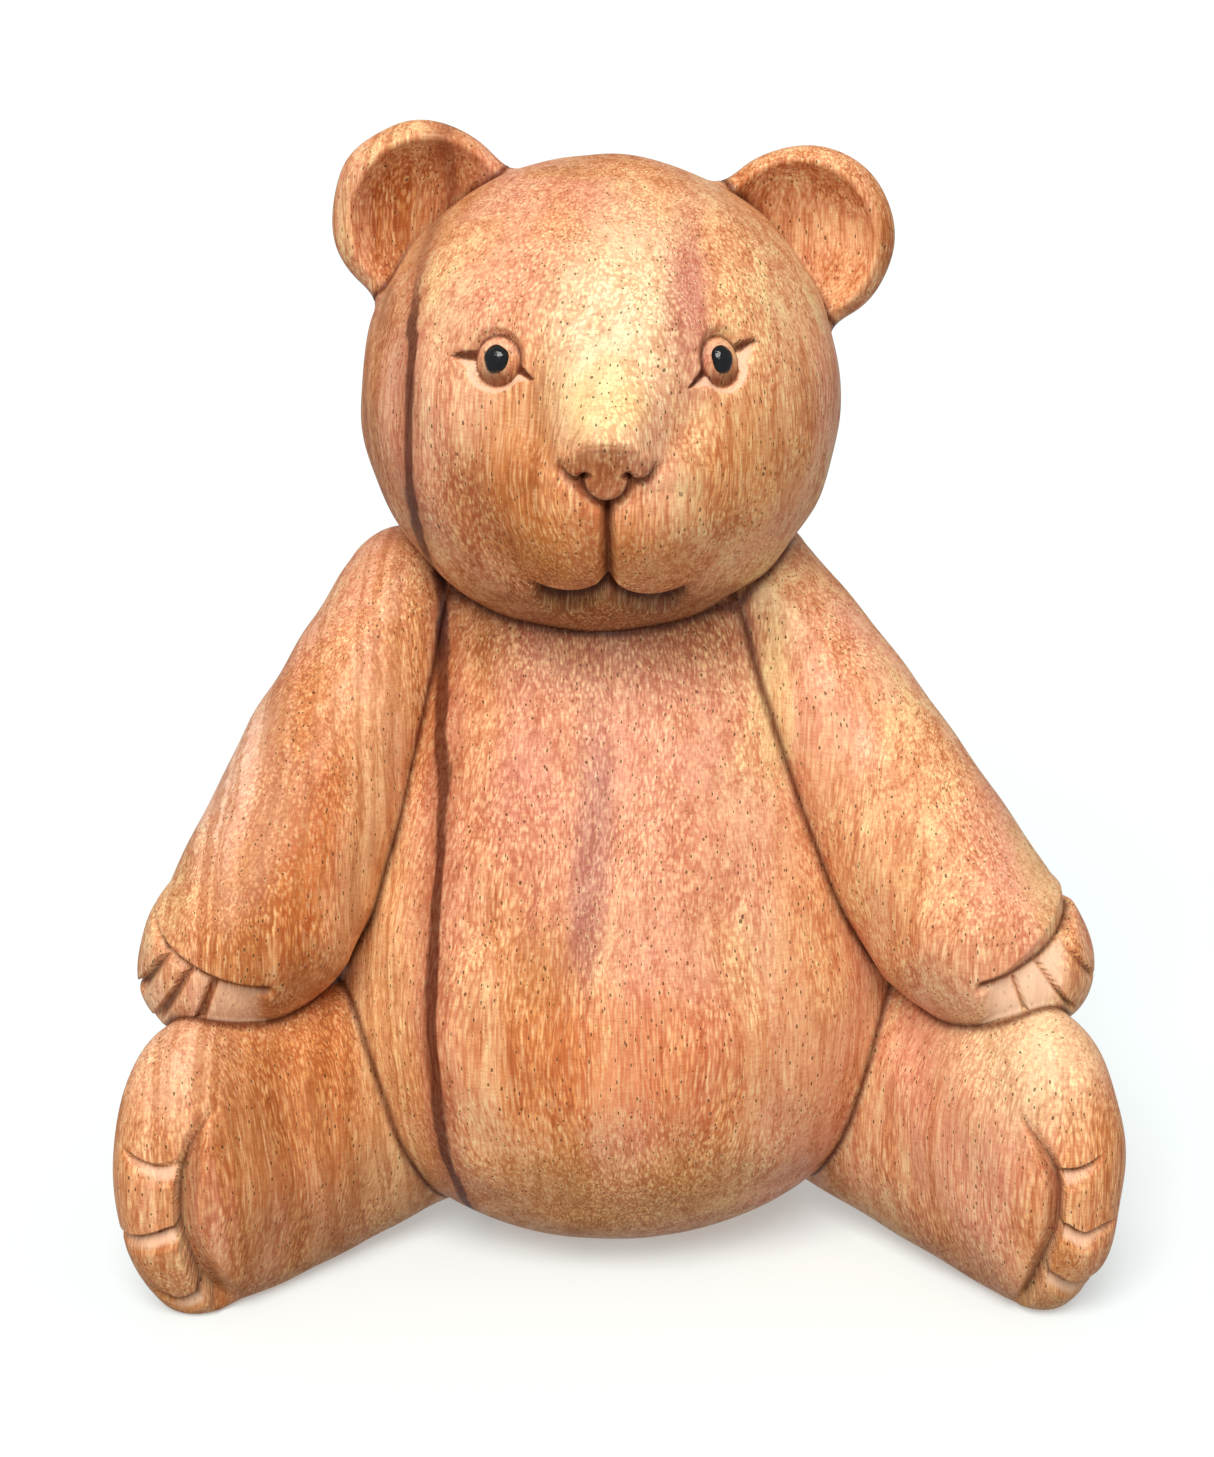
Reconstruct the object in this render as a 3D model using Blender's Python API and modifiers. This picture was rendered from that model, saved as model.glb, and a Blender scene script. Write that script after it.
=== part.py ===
"""A seated bear figurine carved in wood, as ten solids: torso, head, ears, arms, legs and eyes.

The bear faces -Y and stands on Z = 0. Left and right are the bear's own, so its left side is at +X.
Lengths in the tables below are millimetres, and MM turns them into metres.
"""

import math

import bmesh
import bpy
from mathutils import Matrix, Vector

MM = 0.001
GAP = 0.35  # kept between a form and the neighbour that it is fitted to

# Torso: a pear turned about Z, flattened front to back, with a flat base.
TORSO_PROFILE = [  # radius, height, from the top down
    (0.0, 102.0), (9.0, 101.0), (16.0, 98.0), (21.5, 92.0), (27.3, 80.0), (33.0, 65.0), (37.5, 50.0),
    (40.0, 37.0), (38.6, 25.0), (33.0, 13.0), (25.5, 5.0), (18.0, 0.0), (0.0, 0.0),
]
TORSO_AXIS = (0.8, 1.5)  # x and y
TORSO_DEPTH = 0.93  # depth over width
TORSO_SEGMENTS = 40

# Head: a ball, with a muzzle, a bridge and a nose joined to its front: each a centre and its radii.
HEAD_CENTRE = (-0.8, -8.0, 115.2)
HEAD_RADII = (30.6, 30.0, 30.5)
FACE_FORMS = {
    "muzzle": ((0.8, -24.0, 106.5), (15.5, 15.5, 13.0)),
    "bridge": ((0.1, -27.0, 115.5), (7.5, 14.0, 8.0)),
    "nose": ((0.1, -38.0, 112.6), (6.0, 5.2, 3.9)),
}

# Ears: thick round lobes with a dished front. Side -1 is the bear's right ear, and +1 its left.
EARS = {
    "right_ear": {"side": -1, "centre": (-23.4, -1.0, 137.4), "radius": 11.9},
    "left_ear": {"side": 1, "centre": (25.0, -1.0, 134.6), "radius": 11.7},
}
EAR_HALF_DEPTH = 6.5
DISH_RADIUS = 13.0
DISH_FORWARD = 11.5  # from the middle of the ear to the middle of the ball that hollows it
DISH_TURN_IN = 1.5  # how far that middle lies towards the head

# Limbs: clubs about a spine that starts in the body. Each has a half width at the spine's two ends, how far
# its round ends stand beyond the spine, how early it reaches its full width (1 is evenly), its depth over its
# width, and a direction that is square to its width.
ARM_SHAPE = {
    "wide": (9.6, 12.9), "reach": (7.4, 17.1), "swell": 2.1, "depth": 1.15, "level": (0.0, -1.0, 0.3),
}
LEG_SHAPE = {
    "wide": (8.2, 9.5), "reach": (10.0, 12.3), "swell": 1.0, "depth": 2.17, "level": (0.0, 0.0, 1.0),
}
ARMS = {
    "right_arm": {"start": (-26.0, 1.5, 88.0), "end": (-46.5, -19.7, 48.5)},
    "left_arm": {"start": (18.6, -2.0, 90.0), "end": (48.2, -20.0, 48.1)},
}
LEGS = {
    "right_leg": {"start": (-21.0, -1.0, 20.3), "end": (-52.3, -30.5, 18.5)},
    "left_leg": {"start": (30.0, 1.0, 20.0), "end": (55.6, -30.7, 20.0)},
}
LIMB_SEGMENTS = 32
CAP_STEPS = 6
SPINE_STEPS = 6

# Eyes: drops of black gloss paint, one on each side of the face.
EYES = {"right_eye": (-13.4, 124.2), "left_eye": (13.9, 124.0)}
EYE_RADII = (1.65, 1.3, 1.9)

FLOOR_CUTTER_SIZE = 300.0

WOOD = {"name": "carved_wood", "color": (0.56, 0.27, 0.12, 1), "roughness": 0.45}
PAINT = {"name": "eye_black", "color": (0.008, 0.009, 0.012, 1), "roughness": 0.15}


def clear_scene():
    for obj in list(bpy.data.objects):
        bpy.data.objects.remove(obj)


def collection(name):
    made = bpy.data.collections.new(name)
    bpy.context.scene.collection.children.link(made)
    return made


def material(spec):
    made = bpy.data.materials.new(spec["name"])
    made.use_nodes = True
    shader = made.node_tree.nodes["Principled BSDF"]
    shader.inputs["Base Color"].default_value = spec["color"]
    shader.inputs["Roughness"].default_value = spec["roughness"]
    shader.inputs["Metallic"].default_value = 0.0
    return made


def metres(point):
    return Vector(point) * MM


def new_object(name, mesh, where):
    obj = bpy.data.objects.new(name, mesh)
    where.objects.link(obj)
    return obj


def lobe(name, where, centre, radii, segments, rings):
    """An ellipsoid with its poles up and down."""
    mesh = bpy.data.meshes.new(name)
    bm = bmesh.new()
    bmesh.ops.create_uvsphere(bm, u_segments=segments, v_segments=rings, radius=1.0)
    for vert in bm.verts:
        for axis in range(3):
            vert.co[axis] *= radii[axis] * MM
    bm.to_mesh(mesh)
    bm.free()
    obj = new_object(name, mesh, where)
    obj.location = metres(centre)
    return obj


def turned(name, where, profile, segments):
    """A profile of (radius, height) pairs, from the top down, spun about Z by a Screw modifier."""
    mesh = bpy.data.meshes.new(name)
    points = [(radius * MM, 0.0, height * MM) for radius, height in profile]
    edges = [(i, i + 1) for i in range(len(points) - 1)]
    mesh.from_pydata(points, edges, [])
    obj = new_object(name, mesh, where)
    screw = obj.modifiers.new("turn", "SCREW")
    screw.axis = "Z"
    screw.steps = segments
    screw.render_steps = segments
    screw.use_merge_vertices = True
    screw.merge_threshold = 0.00001
    return obj


def helper(obj):
    """Marks a cutter, or a form that is joined to another, so that it isn't a part of its own."""
    obj.hide_render = True
    obj.display_type = "WIRE"
    return obj


def boolean(obj, other, operation):
    modifier = obj.modifiers.new(f"{operation.lower()}_{other.name}", "BOOLEAN")
    modifier.operation = operation
    modifier.object = other


def grown(profile, by):
    """The profile moved outwards by a distance, and up and down at its ends."""
    low, high = profile[-1][1], profile[0][1]
    middle = (low + high) / 2
    return [
        (
            radius + by if radius else 0.0,
            height + math.copysign(by, height - middle) * (height in (low, high)),
        )
        for radius, height in profile
    ]


def torso(name, where, by=0.0):
    obj = turned(name, where, grown(TORSO_PROFILE, by) if by else TORSO_PROFILE, TORSO_SEGMENTS)
    obj.location = metres((*TORSO_AXIS, 0.0))
    obj.scale.y = TORSO_DEPTH
    return obj


def limb_profile(length, shape, by):
    """(radius, height) pairs, from the top down: a quarter ellipse, the swelling side, a quarter ellipse."""
    wide = [half + by for half in shape["wide"]]
    reach = [beyond + by for beyond in shape["reach"]]
    quarter = [math.pi / 2 * step / CAP_STEPS for step in range(CAP_STEPS)]
    points = [(wide[0] * math.sin(a), length / 2 + reach[0] * math.cos(a)) for a in quarter]
    for step in range(SPINE_STEPS + 1):
        t = step / SPINE_STEPS
        share = 1 - (1 - t) ** shape["swell"]
        points.append((wide[0] + (wide[1] - wide[0]) * share, length * (0.5 - t)))
    points += [(wide[1] * math.sin(a), -length / 2 - reach[1] * math.cos(a)) for a in reversed(quarter)]
    return points


def limb(name, where, spec, shape, by=0.0):
    """A turned club along the spine, stretched in the direction of its depth."""
    start, end = Vector(spec["start"]), Vector(spec["end"])
    obj = turned(name, where, limb_profile((end - start).length, shape, by), LIMB_SEGMENTS)
    obj.location = metres((start + end) / 2)
    up = (start - end).normalized()
    across = Vector(shape["level"]).cross(up).normalized()
    obj.rotation_euler = Matrix((across, up.cross(across), up)).transposed().to_euler()
    obj.scale.y = shape["depth"]
    return obj


def head_ball(name, where, by=0.0):
    return lobe(name, where, HEAD_CENTRE, [radius + by for radius in HEAD_RADII], segments=40, rings=26)


def on_head(x, z):
    """The point on the front of the head's ball at this place in the front view."""
    across = (x - HEAD_CENTRE[0]) / HEAD_RADII[0]
    up = (z - HEAD_CENTRE[2]) / HEAD_RADII[2]
    return (x, HEAD_CENTRE[1] - HEAD_RADII[1] * math.sqrt(1 - across**2 - up**2), z)


def floor_cutter(where):
    mesh = bpy.data.meshes.new("floor_cutter")
    bm = bmesh.new()
    bmesh.ops.create_cube(bm, size=FLOOR_CUTTER_SIZE * MM)
    bm.to_mesh(mesh)
    bm.free()
    obj = new_object("floor_cutter", mesh, where)
    obj.location.z = -FLOOR_CUTTER_SIZE / 2 * MM
    return helper(obj)


def build_head(parts, helpers):
    head = head_ball("head", parts)
    for form, (centre, radii) in FACE_FORMS.items():
        segments = 16 if form == "nose" else 28
        joined = lobe(f"{form}_form", helpers, centre, radii, segments, segments * 2 // 3)
        boolean(head, helper(joined), "UNION")
    return head


def build_ear(name, spec, parts, helpers, head_cutter):
    radius = spec["radius"]
    ear = lobe(name, parts, spec["centre"], (radius, EAR_HALF_DEPTH, radius), segments=28, rings=18)
    dish_centre = Vector(spec["centre"]) + Vector((-spec["side"] * DISH_TURN_IN, -DISH_FORWARD, 0))
    dish = lobe(f"{name}_dish", helpers, dish_centre, [DISH_RADIUS] * 3, segments=28, rings=18)
    boolean(ear, helper(dish), "DIFFERENCE")
    boolean(ear, head_cutter, "DIFFERENCE")
    return ear


def build_eye(name, place, parts, head_cutter):
    eye = lobe(name, parts, on_head(*place), EYE_RADII, segments=16, rings=10)
    boolean(eye, head_cutter, "DIFFERENCE")
    return eye


def finish(obj, mat):
    """Gives a part its material and smooth shading; a Screw shades its own faces."""
    obj.data.materials.append(mat)
    for modifier in obj.modifiers:
        if modifier.type == "SCREW":
            modifier.use_smooth_shade = True
    if obj.data.polygons:
        obj.data.shade_smooth()


def main():
    clear_scene()
    parts = collection("carved_bear")
    helpers = collection("cutters")
    wood, paint = material(WOOD), material(PAINT)

    head_cutter = helper(head_ball("head_cutter", helpers, GAP))
    torso_cutter = helper(torso("torso_cutter", helpers, GAP))
    floor = floor_cutter(helpers)

    body = torso("torso", parts)
    boolean(body, head_cutter, "DIFFERENCE")
    wooden = [body, build_head(parts, helpers)]
    for name, spec in EARS.items():
        wooden.append(build_ear(name, spec, parts, helpers, head_cutter))
    arm_cutters = {}
    for name, spec in ARMS.items():
        arm = limb(name, parts, spec, ARM_SHAPE)
        boolean(arm, head_cutter, "DIFFERENCE")
        boolean(arm, torso_cutter, "DIFFERENCE")
        wooden.append(arm)
        arm_cutters[name] = helper(limb(f"{name}_cutter", helpers, spec, ARM_SHAPE, GAP))
    for name, spec in LEGS.items():
        leg = limb(name, parts, spec, LEG_SHAPE)
        for cutter in (floor, torso_cutter, arm_cutters[name.replace("leg", "arm")]):
            boolean(leg, cutter, "DIFFERENCE")
        wooden.append(leg)
    for obj in wooden:
        finish(obj, wood)
    for name, place in EYES.items():
        finish(build_eye(name, place, parts, head_cutter), paint)


main()
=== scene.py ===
"""A seated bear carved in one block of figured hardwood: the forms, the cuts of the knife, and the finishes.

Each form is a field, a function that is negative in the wood and zero on its surface, in millimetres.
The forms flow into their neighbours where the carver left the corner soft. A grid of rays then finds each
surface.
The bear faces -Y, and its own left is at +X.
"""

import functools
import math

import bpy
import numpy as np
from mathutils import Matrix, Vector


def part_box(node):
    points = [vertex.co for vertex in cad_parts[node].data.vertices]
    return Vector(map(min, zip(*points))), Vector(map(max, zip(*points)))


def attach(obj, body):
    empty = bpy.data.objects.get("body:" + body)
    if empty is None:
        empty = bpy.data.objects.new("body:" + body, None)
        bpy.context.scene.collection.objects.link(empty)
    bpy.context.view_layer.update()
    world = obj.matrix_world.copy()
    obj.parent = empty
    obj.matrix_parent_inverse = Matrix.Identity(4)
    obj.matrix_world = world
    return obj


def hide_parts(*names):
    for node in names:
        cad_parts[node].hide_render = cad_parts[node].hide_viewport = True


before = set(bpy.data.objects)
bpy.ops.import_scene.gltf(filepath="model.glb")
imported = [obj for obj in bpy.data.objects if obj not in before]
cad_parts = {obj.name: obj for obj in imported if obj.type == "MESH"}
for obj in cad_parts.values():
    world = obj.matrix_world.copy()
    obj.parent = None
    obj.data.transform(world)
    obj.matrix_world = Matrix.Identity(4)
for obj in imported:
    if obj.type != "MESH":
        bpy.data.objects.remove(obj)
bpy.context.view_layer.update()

bl_info = {
    "name": "Carved Wooden Bear",
    "version": (1, 0, 0),
    "blender": (4, 5, 0),
    "location": "View3D > Sidebar > Carved Bear",
    "description": "Builds a seated bear carved in figured hardwood, with enamel eyes",
    "category": "Add Mesh",
}

MM = 0.001


# ---------------------------------------------------------------- places, from the frame, in millimetres

def box_mm(node):
    """The lowest and the highest corner of a node of the frame."""
    low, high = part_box(node)
    return np.array(low) / MM, np.array(high) / MM


def middle(node):
    """The middle of a node's box: half the sum of its two corners."""
    low, high = box_mm(node)
    return (low + high) / 2


HEAD_LOW, HEAD_HIGH = box_mm("head")
HEAD_HALF_DEPTH = 30.0
HEAD_RADII = np.array([(HEAD_HIGH[0] - HEAD_LOW[0]) / 2, HEAD_HALF_DEPTH, (HEAD_HIGH[2] - HEAD_LOW[2]) / 2])
HEAD = np.array([middle("head")[0], HEAD_HIGH[1] - HEAD_HALF_DEPTH, middle("head")[2]])

TORSO_X, TORSO_Y = middle("torso")[:2]
TORSO_DEPTH = 0.93  # front to back, as a share of side to side
TORSO_HEIGHTS = [0.0, 5.0, 13.0, 25.0, 37.0, 50.0, 65.0, 80.0, 92.0, 98.0, 102.0]
TORSO_RADII = [15.0, 25.0, 33.0, 38.6, 40.0, 37.5, 33.0, 27.3, 21.5, 16.0, 9.0]

SIDES = {"right": -1, "left": 1}
# Limbs: where the spine starts and ends, the half width and the half depth there, how early the limb reaches
# its full width (1 is evenly), and how far its rounded ends stand beyond the spine.
ARMS = {
    "right": {"start": np.array([-26.0, 1.5, 88.0]), "end": np.array([-45.0, -19.7, 48.5])},
    "left": {"start": np.array([18.6, -2.0, 90.0]), "end": np.array([46.7, -20.0, 48.1])},
}
ARM_SHAPE = {"wide": (8.6, 12.7), "deep": (12.1, 13.7), "swell": 2.1, "reach": (7.4, 17.1)}
ARM_LEAN = 0.26  # how far the paw leans outwards for each millimetre beyond the spine
LEGS = {
    "right": {"start": np.array([-21.0, -1.0, 20.3]), "end": np.array([-52.3, -30.5, 18.5])},
    "left": {"start": np.array([30.0, 1.0, 20.0]), "end": np.array([55.6, -30.7, 20.0])},
}
LEG_SHAPE = {"wide": (8.5, 9.3), "deep": (17.3, 20.9), "swell": 1.0, "reach": (10.0, 12.3)}
LEG_FLOOR_ROUND = 1.2

EARS = {
    "right": {"centre": np.array([-23.4, -1.0, 137.4]), "radius": 11.9},
    "left": {"centre": np.array([25.0, -1.0, 134.6]), "radius": 11.7},
}
EAR_HALF_DEPTH = 6.5
DISH_RADIUS = 13.0  # of the ball that hollows the front of an ear
DISH_FORWARD = 11.5  # from the ear's middle to the ball's
DISH_TURN_IN = 1.5
EAR_RIM_ROUND = 0.8

CUT_REACH = 3.5  # no cut goes deeper than this below the plain form
WALK_STEP = 0.25
HEAD_PROUD = 7.0  # no carving on the head stands out further than this

# Rings and points in each ring.
HEAD_GRID = (226, 430)
TORSO_GRID = (220, 280)
ARM_GRID = (294, 334)
LEG_GRID = (290, 334)
EAR_GRID = (190, 220)
DROP_GRID = (48, 96)


# ---------------------------------------------------------------- small functions on whole arrays

def lengths(v):
    """The root of the sum of squares of each vector."""
    return np.sqrt(np.einsum("...i,...i", v, v))


def unit(v):
    """Each vector over its own length."""
    return v / np.maximum(lengths(v), 1e-12)[..., None]


def ease(x, low, high):
    """0 below low, 1 above high, and a smooth S between them."""
    t = np.clip((x - low) / (high - low), 0.0, 1.0)
    return t * t * (3 - 2 * t)


def soft_min(a, b, k):
    """The lower of two fields, less (k - |a - b|)^2 / 4k where they are within k of each other."""
    return np.minimum(a, b) - np.maximum(k - np.abs(a - b), 0) ** 2 / (4 * k)


def soft_max(a, b, k):
    """The higher of two fields, rounded in the same way."""
    return -soft_min(-a, -b, k)


def hermite(x, knots, values):
    """A smooth curve through the knots: cubic pieces whose slopes come from the neighbouring knots."""
    knots, values = np.asarray(knots, float), np.asarray(values, float)
    slopes = np.gradient(values, knots)
    i = np.clip(np.searchsorted(knots, x) - 1, 0, len(knots) - 2)
    step = knots[i + 1] - knots[i]
    t = np.clip((x - knots[i]) / step, 0, 1)
    s = 1 - t
    rise = values[i] * (1 + 2 * t) * s * s + values[i + 1] * (3 - 2 * t) * t * t
    return rise + step * t * s * (slopes[i] * s - slopes[i + 1] * t)


def groove(distance, half_width):
    """A V cut: 1 in its bottom, and 0 at its edges."""
    return np.maximum(0, 1 - np.abs(distance) / half_width)


def ellipsoid(p, centre, radii):
    """Close to the distance from an ellipsoid: k0 (k0 - 1) / k1, lengths over the radii and their squares."""
    q = p - centre
    k0 = lengths(q / radii)
    k1 = np.maximum(lengths(q / radii**2), 1e-9)
    return k0 * (k0 - 1) / k1


def hand_waver(p, size=0.13):
    """The slow unevenness of a surface cut by hand: three crossed waves 14 to 23 mm long."""
    x, y, z = p[..., 0], p[..., 1], p[..., 2]
    waves = np.sin(0.31 * x + 0.17 * z + 0.8) * np.sin(0.27 * y - 0.21 * z)
    waves += np.sin(0.45 * z + 0.12 * x - 0.6) * np.sin(0.38 * x - 0.2 * y + 1.9)
    waves += 0.6 * np.sin(0.33 * y + 0.41 * x + 0.35 * z)
    return size * waves


# ---------------------------------------------------------------- the plain forms

def torso_field(p):
    """A pear with a flat base: distance from the axis, scaled front to back, less the profile's radius."""
    x, y, z = p[..., 0] - TORSO_X, (p[..., 1] - TORSO_Y) / TORSO_DEPTH, p[..., 2]
    side = np.hypot(x, y) - hermite(z, TORSO_HEIGHTS, TORSO_RADII)
    return soft_max(side, soft_max(-z, z - TORSO_HEIGHTS[-1], 0.5), 1.6)


def limb_axes(start, end, level):
    """Along the spine, the direction of its width, the direction of its depth, and its length."""
    along = end - start
    length = np.linalg.norm(along)
    along = along / length
    wide = np.cross(level, along)
    wide = wide / np.linalg.norm(wide)
    return along, wide, np.cross(along, wide), length


def limb(p, start, end, shape, level, lean):
    """A spine with an elliptical section that swells along it, and a half ellipsoid at each end.

    The half width goes from its first to its last value by 1 - (1 - t)^swell. Beyond the spine the section
    shrinks as an ellipsoid's does. level is a direction that the width stays square to.
    """
    along, wide, deep, length = limb_axes(start, end, np.array(level))
    q = p - start
    run = q @ along
    t = np.clip(run / length, 0, 1)
    share = 1 - (1 - t) ** shape["swell"]
    beyond = run - t * length
    q = q - np.maximum(beyond, 0)[..., None] * np.array(lean)
    across, down = q @ wide, q @ deep
    reach = np.where(beyond > 0, shape["reach"][1], shape["reach"][0])
    width = shape["wide"][0] + (shape["wide"][1] - shape["wide"][0]) * share
    depth = shape["deep"][0] + (shape["deep"][1] - shape["deep"][0]) * share
    k0 = np.sqrt((beyond / reach) ** 2 + (across / width) ** 2 + (down / depth) ** 2)
    k1 = np.sqrt((beyond / reach**2) ** 2 + (across / width**2) ** 2 + (down / depth**2) ** 2)
    return k0 * (k0 - 1) / np.maximum(k1, 1e-6)


def arm_field(p, side):
    """A club from the shoulder to the paw, which leans outwards."""
    lean = (ARM_LEAN * SIDES[side], 0.0, 0.0)
    return limb(p, ARMS[side]["start"], ARMS[side]["end"], ARM_SHAPE, (0.0, -1.0, 0.3), lean)


def leg_field(p, side):
    """An upright slab with round sides, turned outwards, flat underneath."""
    leg = limb(p, LEGS[side]["start"], LEGS[side]["end"], LEG_SHAPE, (0.0, 0.0, 1.0), (0.0, 0.0, 0.0))
    return soft_max(leg, -p[..., 2], LEG_FLOOR_ROUND)


def ear_dish(p, side):
    """The ball that hollows the front of an ear."""
    centre = EARS[side]["centre"] + np.array([-SIDES[side] * DISH_TURN_IN, -DISH_FORWARD, 0.0])
    return lengths(p - centre) - DISH_RADIUS


def ear_field(p, side):
    """A thick round lobe less a ball in front of it, with a rounded rim between them."""
    radius = EARS[side]["radius"]
    lobe = ellipsoid(p, EARS[side]["centre"], np.array([radius, EAR_HALF_DEPTH, radius]))
    return soft_max(lobe, -ear_dish(p, side), EAR_RIM_ROUND)


def ball_field(p):
    """The head's ball, without the face."""
    return ellipsoid(p, HEAD, HEAD_RADII)


PLAIN = {
    "torso": torso_field,
    "head": ball_field,
    "right_arm": lambda p: arm_field(p, "right"),
    "left_arm": lambda p: arm_field(p, "left"),
    "right_leg": lambda p: leg_field(p, "right"),
    "left_leg": lambda p: leg_field(p, "left"),
    "right_ear": lambda p: ear_field(p, "right"),
    "left_ear": lambda p: ear_field(p, "left"),
}


# ---------------------------------------------------------------- the face

NOSE_X = 0.05
NOSE_TOP = 115.9  # height of the nose's upper edge
NOSE_ARCH_RADIUS = 9.6
BRIDGE_LENGTH = 12.5  # from the nose up to the brow
MUZZLE = (0.8, 108.0)
MUZZLE_RADIUS = 16.6
MUZZLE_RISE = 3.3
PADS = {"right": (-5.4, 102.4, 6.9), "left": (6.2, 101.7, 6.95)}  # x, z and radius of the two upper lips
PAD_RISE = 1.35
PHILTRUM_TOP, PHILTRUM_FOOT = 108.4, 98.0
MOUTH_X = 0.4
MOUTH_FADE = (7.5, 11.0)  # the corners of the mouth fade out between these distances from its middle
MOUTH_HOLLOW = 2.6  # how deep the wood is hollowed below the lips
LIP_CUT = 1.5
NOSE_LEAN = 0.22  # how far the front of the nose falls back for each millimetre down
NOSE_CROWN = 0.035  # and towards its sides, for each square millimetre aside


def disc(x, z, centre_x, centre_z, radius):
    """Distance from a circle in the front view, negative inside it."""
    return np.hypot(x - centre_x, z - centre_z) - radius


def ball_front(x, z):
    """How far forward the head's ball reaches: its half depth times the root of 1 - across^2 - up^2."""
    across = (x - HEAD[0]) / HEAD_RADII[0]
    up = (z - HEAD[2]) / HEAD_RADII[2]
    return -HEAD[1] + HEAD_RADII[1] * np.sqrt(np.maximum(0.02, 1 - across**2 - up**2))


def nose_outline(x, z):
    """Negative inside the nose: a body under an arch, a wing on each side, and a lobe in the middle."""
    x, z = x - NOSE_X, z - NOSE_TOP
    wings = np.minimum(disc(x, z, -3.75, -2.65, 1.5), disc(x, z, 3.75, -2.85, 1.6))
    lobe = disc(x, z, -0.15, -4.65, 2.5)
    body = np.maximum(np.abs(x) - 4.0, np.abs(z + 1.8) - 1.9)
    arch = disc(x, z, 0.0, -NOSE_ARCH_RADIUS, NOSE_ARCH_RADIUS)
    return soft_max(soft_min(np.minimum(wings, lobe), body, 0.5), arch, 0.3)


def lip_line(x):
    """Height of the lower edge of the upper lips: two arcs that meet under the philtrum."""
    edges = []
    for centre_x, centre_z, radius in PADS.values():
        reach = np.clip(np.abs(x - centre_x), 0, radius * 0.985)
        edges.append(centre_z - np.sqrt(radius**2 - reach**2))
    return np.where(x < NOSE_X + 0.15, edges[0], edges[1])


def face_relief(x, z):
    """How far the face stands in front of the head's ball, and the painted shade in its cuts, its hollows and
    on the front of the nose.

    It is the bridge and the muzzle joined by the cube root of their summed cubes, with the two lips added,
    the philtrum and the mouth cut in, and the plate of the nose laid over them.
    """
    outline = nose_outline(x, z)
    aside = np.abs(x - NOSE_X)
    arch = disc(x, z, NOSE_X, NOSE_TOP - NOSE_ARCH_RADIUS, NOSE_ARCH_RADIUS)
    stand = bpy.context.scene.bear_forms.nose_reach / MM - NOSE_CROWN * aside**2 - ball_front(x, z)
    plate = stand - NOSE_LEAN * (NOSE_TOP - z) - 0.3 * ease(outline, -0.6, 0.1)

    # The bridge slopes back from the nose's edge to the brow, and widens on the way.
    climb = np.clip(arch / BRIDGE_LENGTH, 0, 1)
    half_width = 6.2 + 4.5 * climb
    bridge = np.maximum(stand, 0.0) * (1 - climb) ** 1.7
    bridge *= 1 - ease(aside, 0.3 * half_width, 1.55 * half_width)
    bridge *= ease(z, NOSE_TOP - 6.0, NOSE_TOP - 2.5)
    hollow_beside = 0.7 * np.exp(-(((aside - 10.0) / 3.4) ** 2) - ((z - 119.0) / 4.2) ** 2)

    # The muzzle is a dome, 1 - s^2 of its radius, with a soft crease round its foot.
    left_over = 1 - ((x - MUZZLE[0]) ** 2 + (z - MUZZLE[1]) ** 2) / MUZZLE_RADIUS**2
    dome = MUZZLE_RISE * (left_over + np.sqrt(left_over**2 + 0.004)) / 2 * (1 - ease(z, 110.0, 119.0))
    base = np.cbrt(bridge**3 + dome**3)
    upper = base - hollow_beside
    for centre_x, centre_z, radius in PADS.values():
        away = ((x - centre_x) ** 2 + (z - centre_z) ** 2) / (radius * 1.12) ** 2
        upper += PAD_RISE * np.maximum(0, 1 - away)
    under_nose = np.exp(-((np.maximum(outline, 0) / 1.1) ** 2))
    under_nose *= 1 - ease(z, NOSE_TOP - 4.0, NOSE_TOP - 2.0)
    upper -= 1.2 * under_nose
    run = (PHILTRUM_TOP - z) / (PHILTRUM_TOP - PHILTRUM_FOOT)
    in_run = ease(run, -0.12, 0.02) * (1 - ease(run, 1.0, 1.15))
    philtrum = groove(x - NOSE_X - 0.15 * run, 0.85 + 0.6 * np.clip(run, 0, 1)) * in_run
    upper -= (1.9 + 0.6 * np.clip(run, 0, 1)) * philtrum

    below = lip_line(x) - z
    mouth = 1 - ease(np.abs(x - MOUTH_X), *MOUTH_FADE)
    hollow = (1 - ease(below, 0.3, 4.8)) * mouth
    lower = base * (1 - 0.6 * mouth) - MOUTH_HOLLOW * hollow - LIP_CUT * groove(below - 0.2, 0.8) * mouth
    closed = 1 - mouth * (1 - ease(-below, -0.18, 0.3))
    relief = np.where(mouth > 0, closed * upper + (1 - closed) * lower, upper)

    inside = 1 - ease(outline, -0.12, 0.14)
    relief = inside * plate + (1 - inside) * relief
    nostrils = np.maximum(
        groove(np.hypot((x + 2.6) / 1.4, z - NOSE_TOP + 4.15), 0.66),
        groove(np.hypot((x - 2.35) / 1.1, z - NOSE_TOP + 4.2), 0.72),
    )
    crease = groove(x + 5.7 - 0.06 * (z - NOSE_TOP + 3.6), 0.42)
    crease *= ease(z, NOSE_TOP - 6.1, NOSE_TOP - 4.6) * (1 - ease(z, NOSE_TOP - 2.7, NOSE_TOP - 1.9))
    relief -= 1.5 * np.minimum(1, 1.6 * nostrils) + 0.4 * crease
    # Painted shade: the mouth line, the nostrils, the philtrum, the hollow under the lips, the nose's crease,
    # the recess under the nose and the whole front of the nose are darkened.
    mouth_line_shade = ease(below, -0.35, 0.0) * (1 - ease(below, 1.3, 3.2)) * mouth
    dirt_and_shade = np.maximum.reduce([
        nostrils, philtrum, mouth_line_shade, 0.45 * hollow * (below > 0), 0.6 * crease,
        0.8 * under_nose * (1 - inside), 0.45 * inside,
    ])
    return relief, dirt_and_shade


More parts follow.
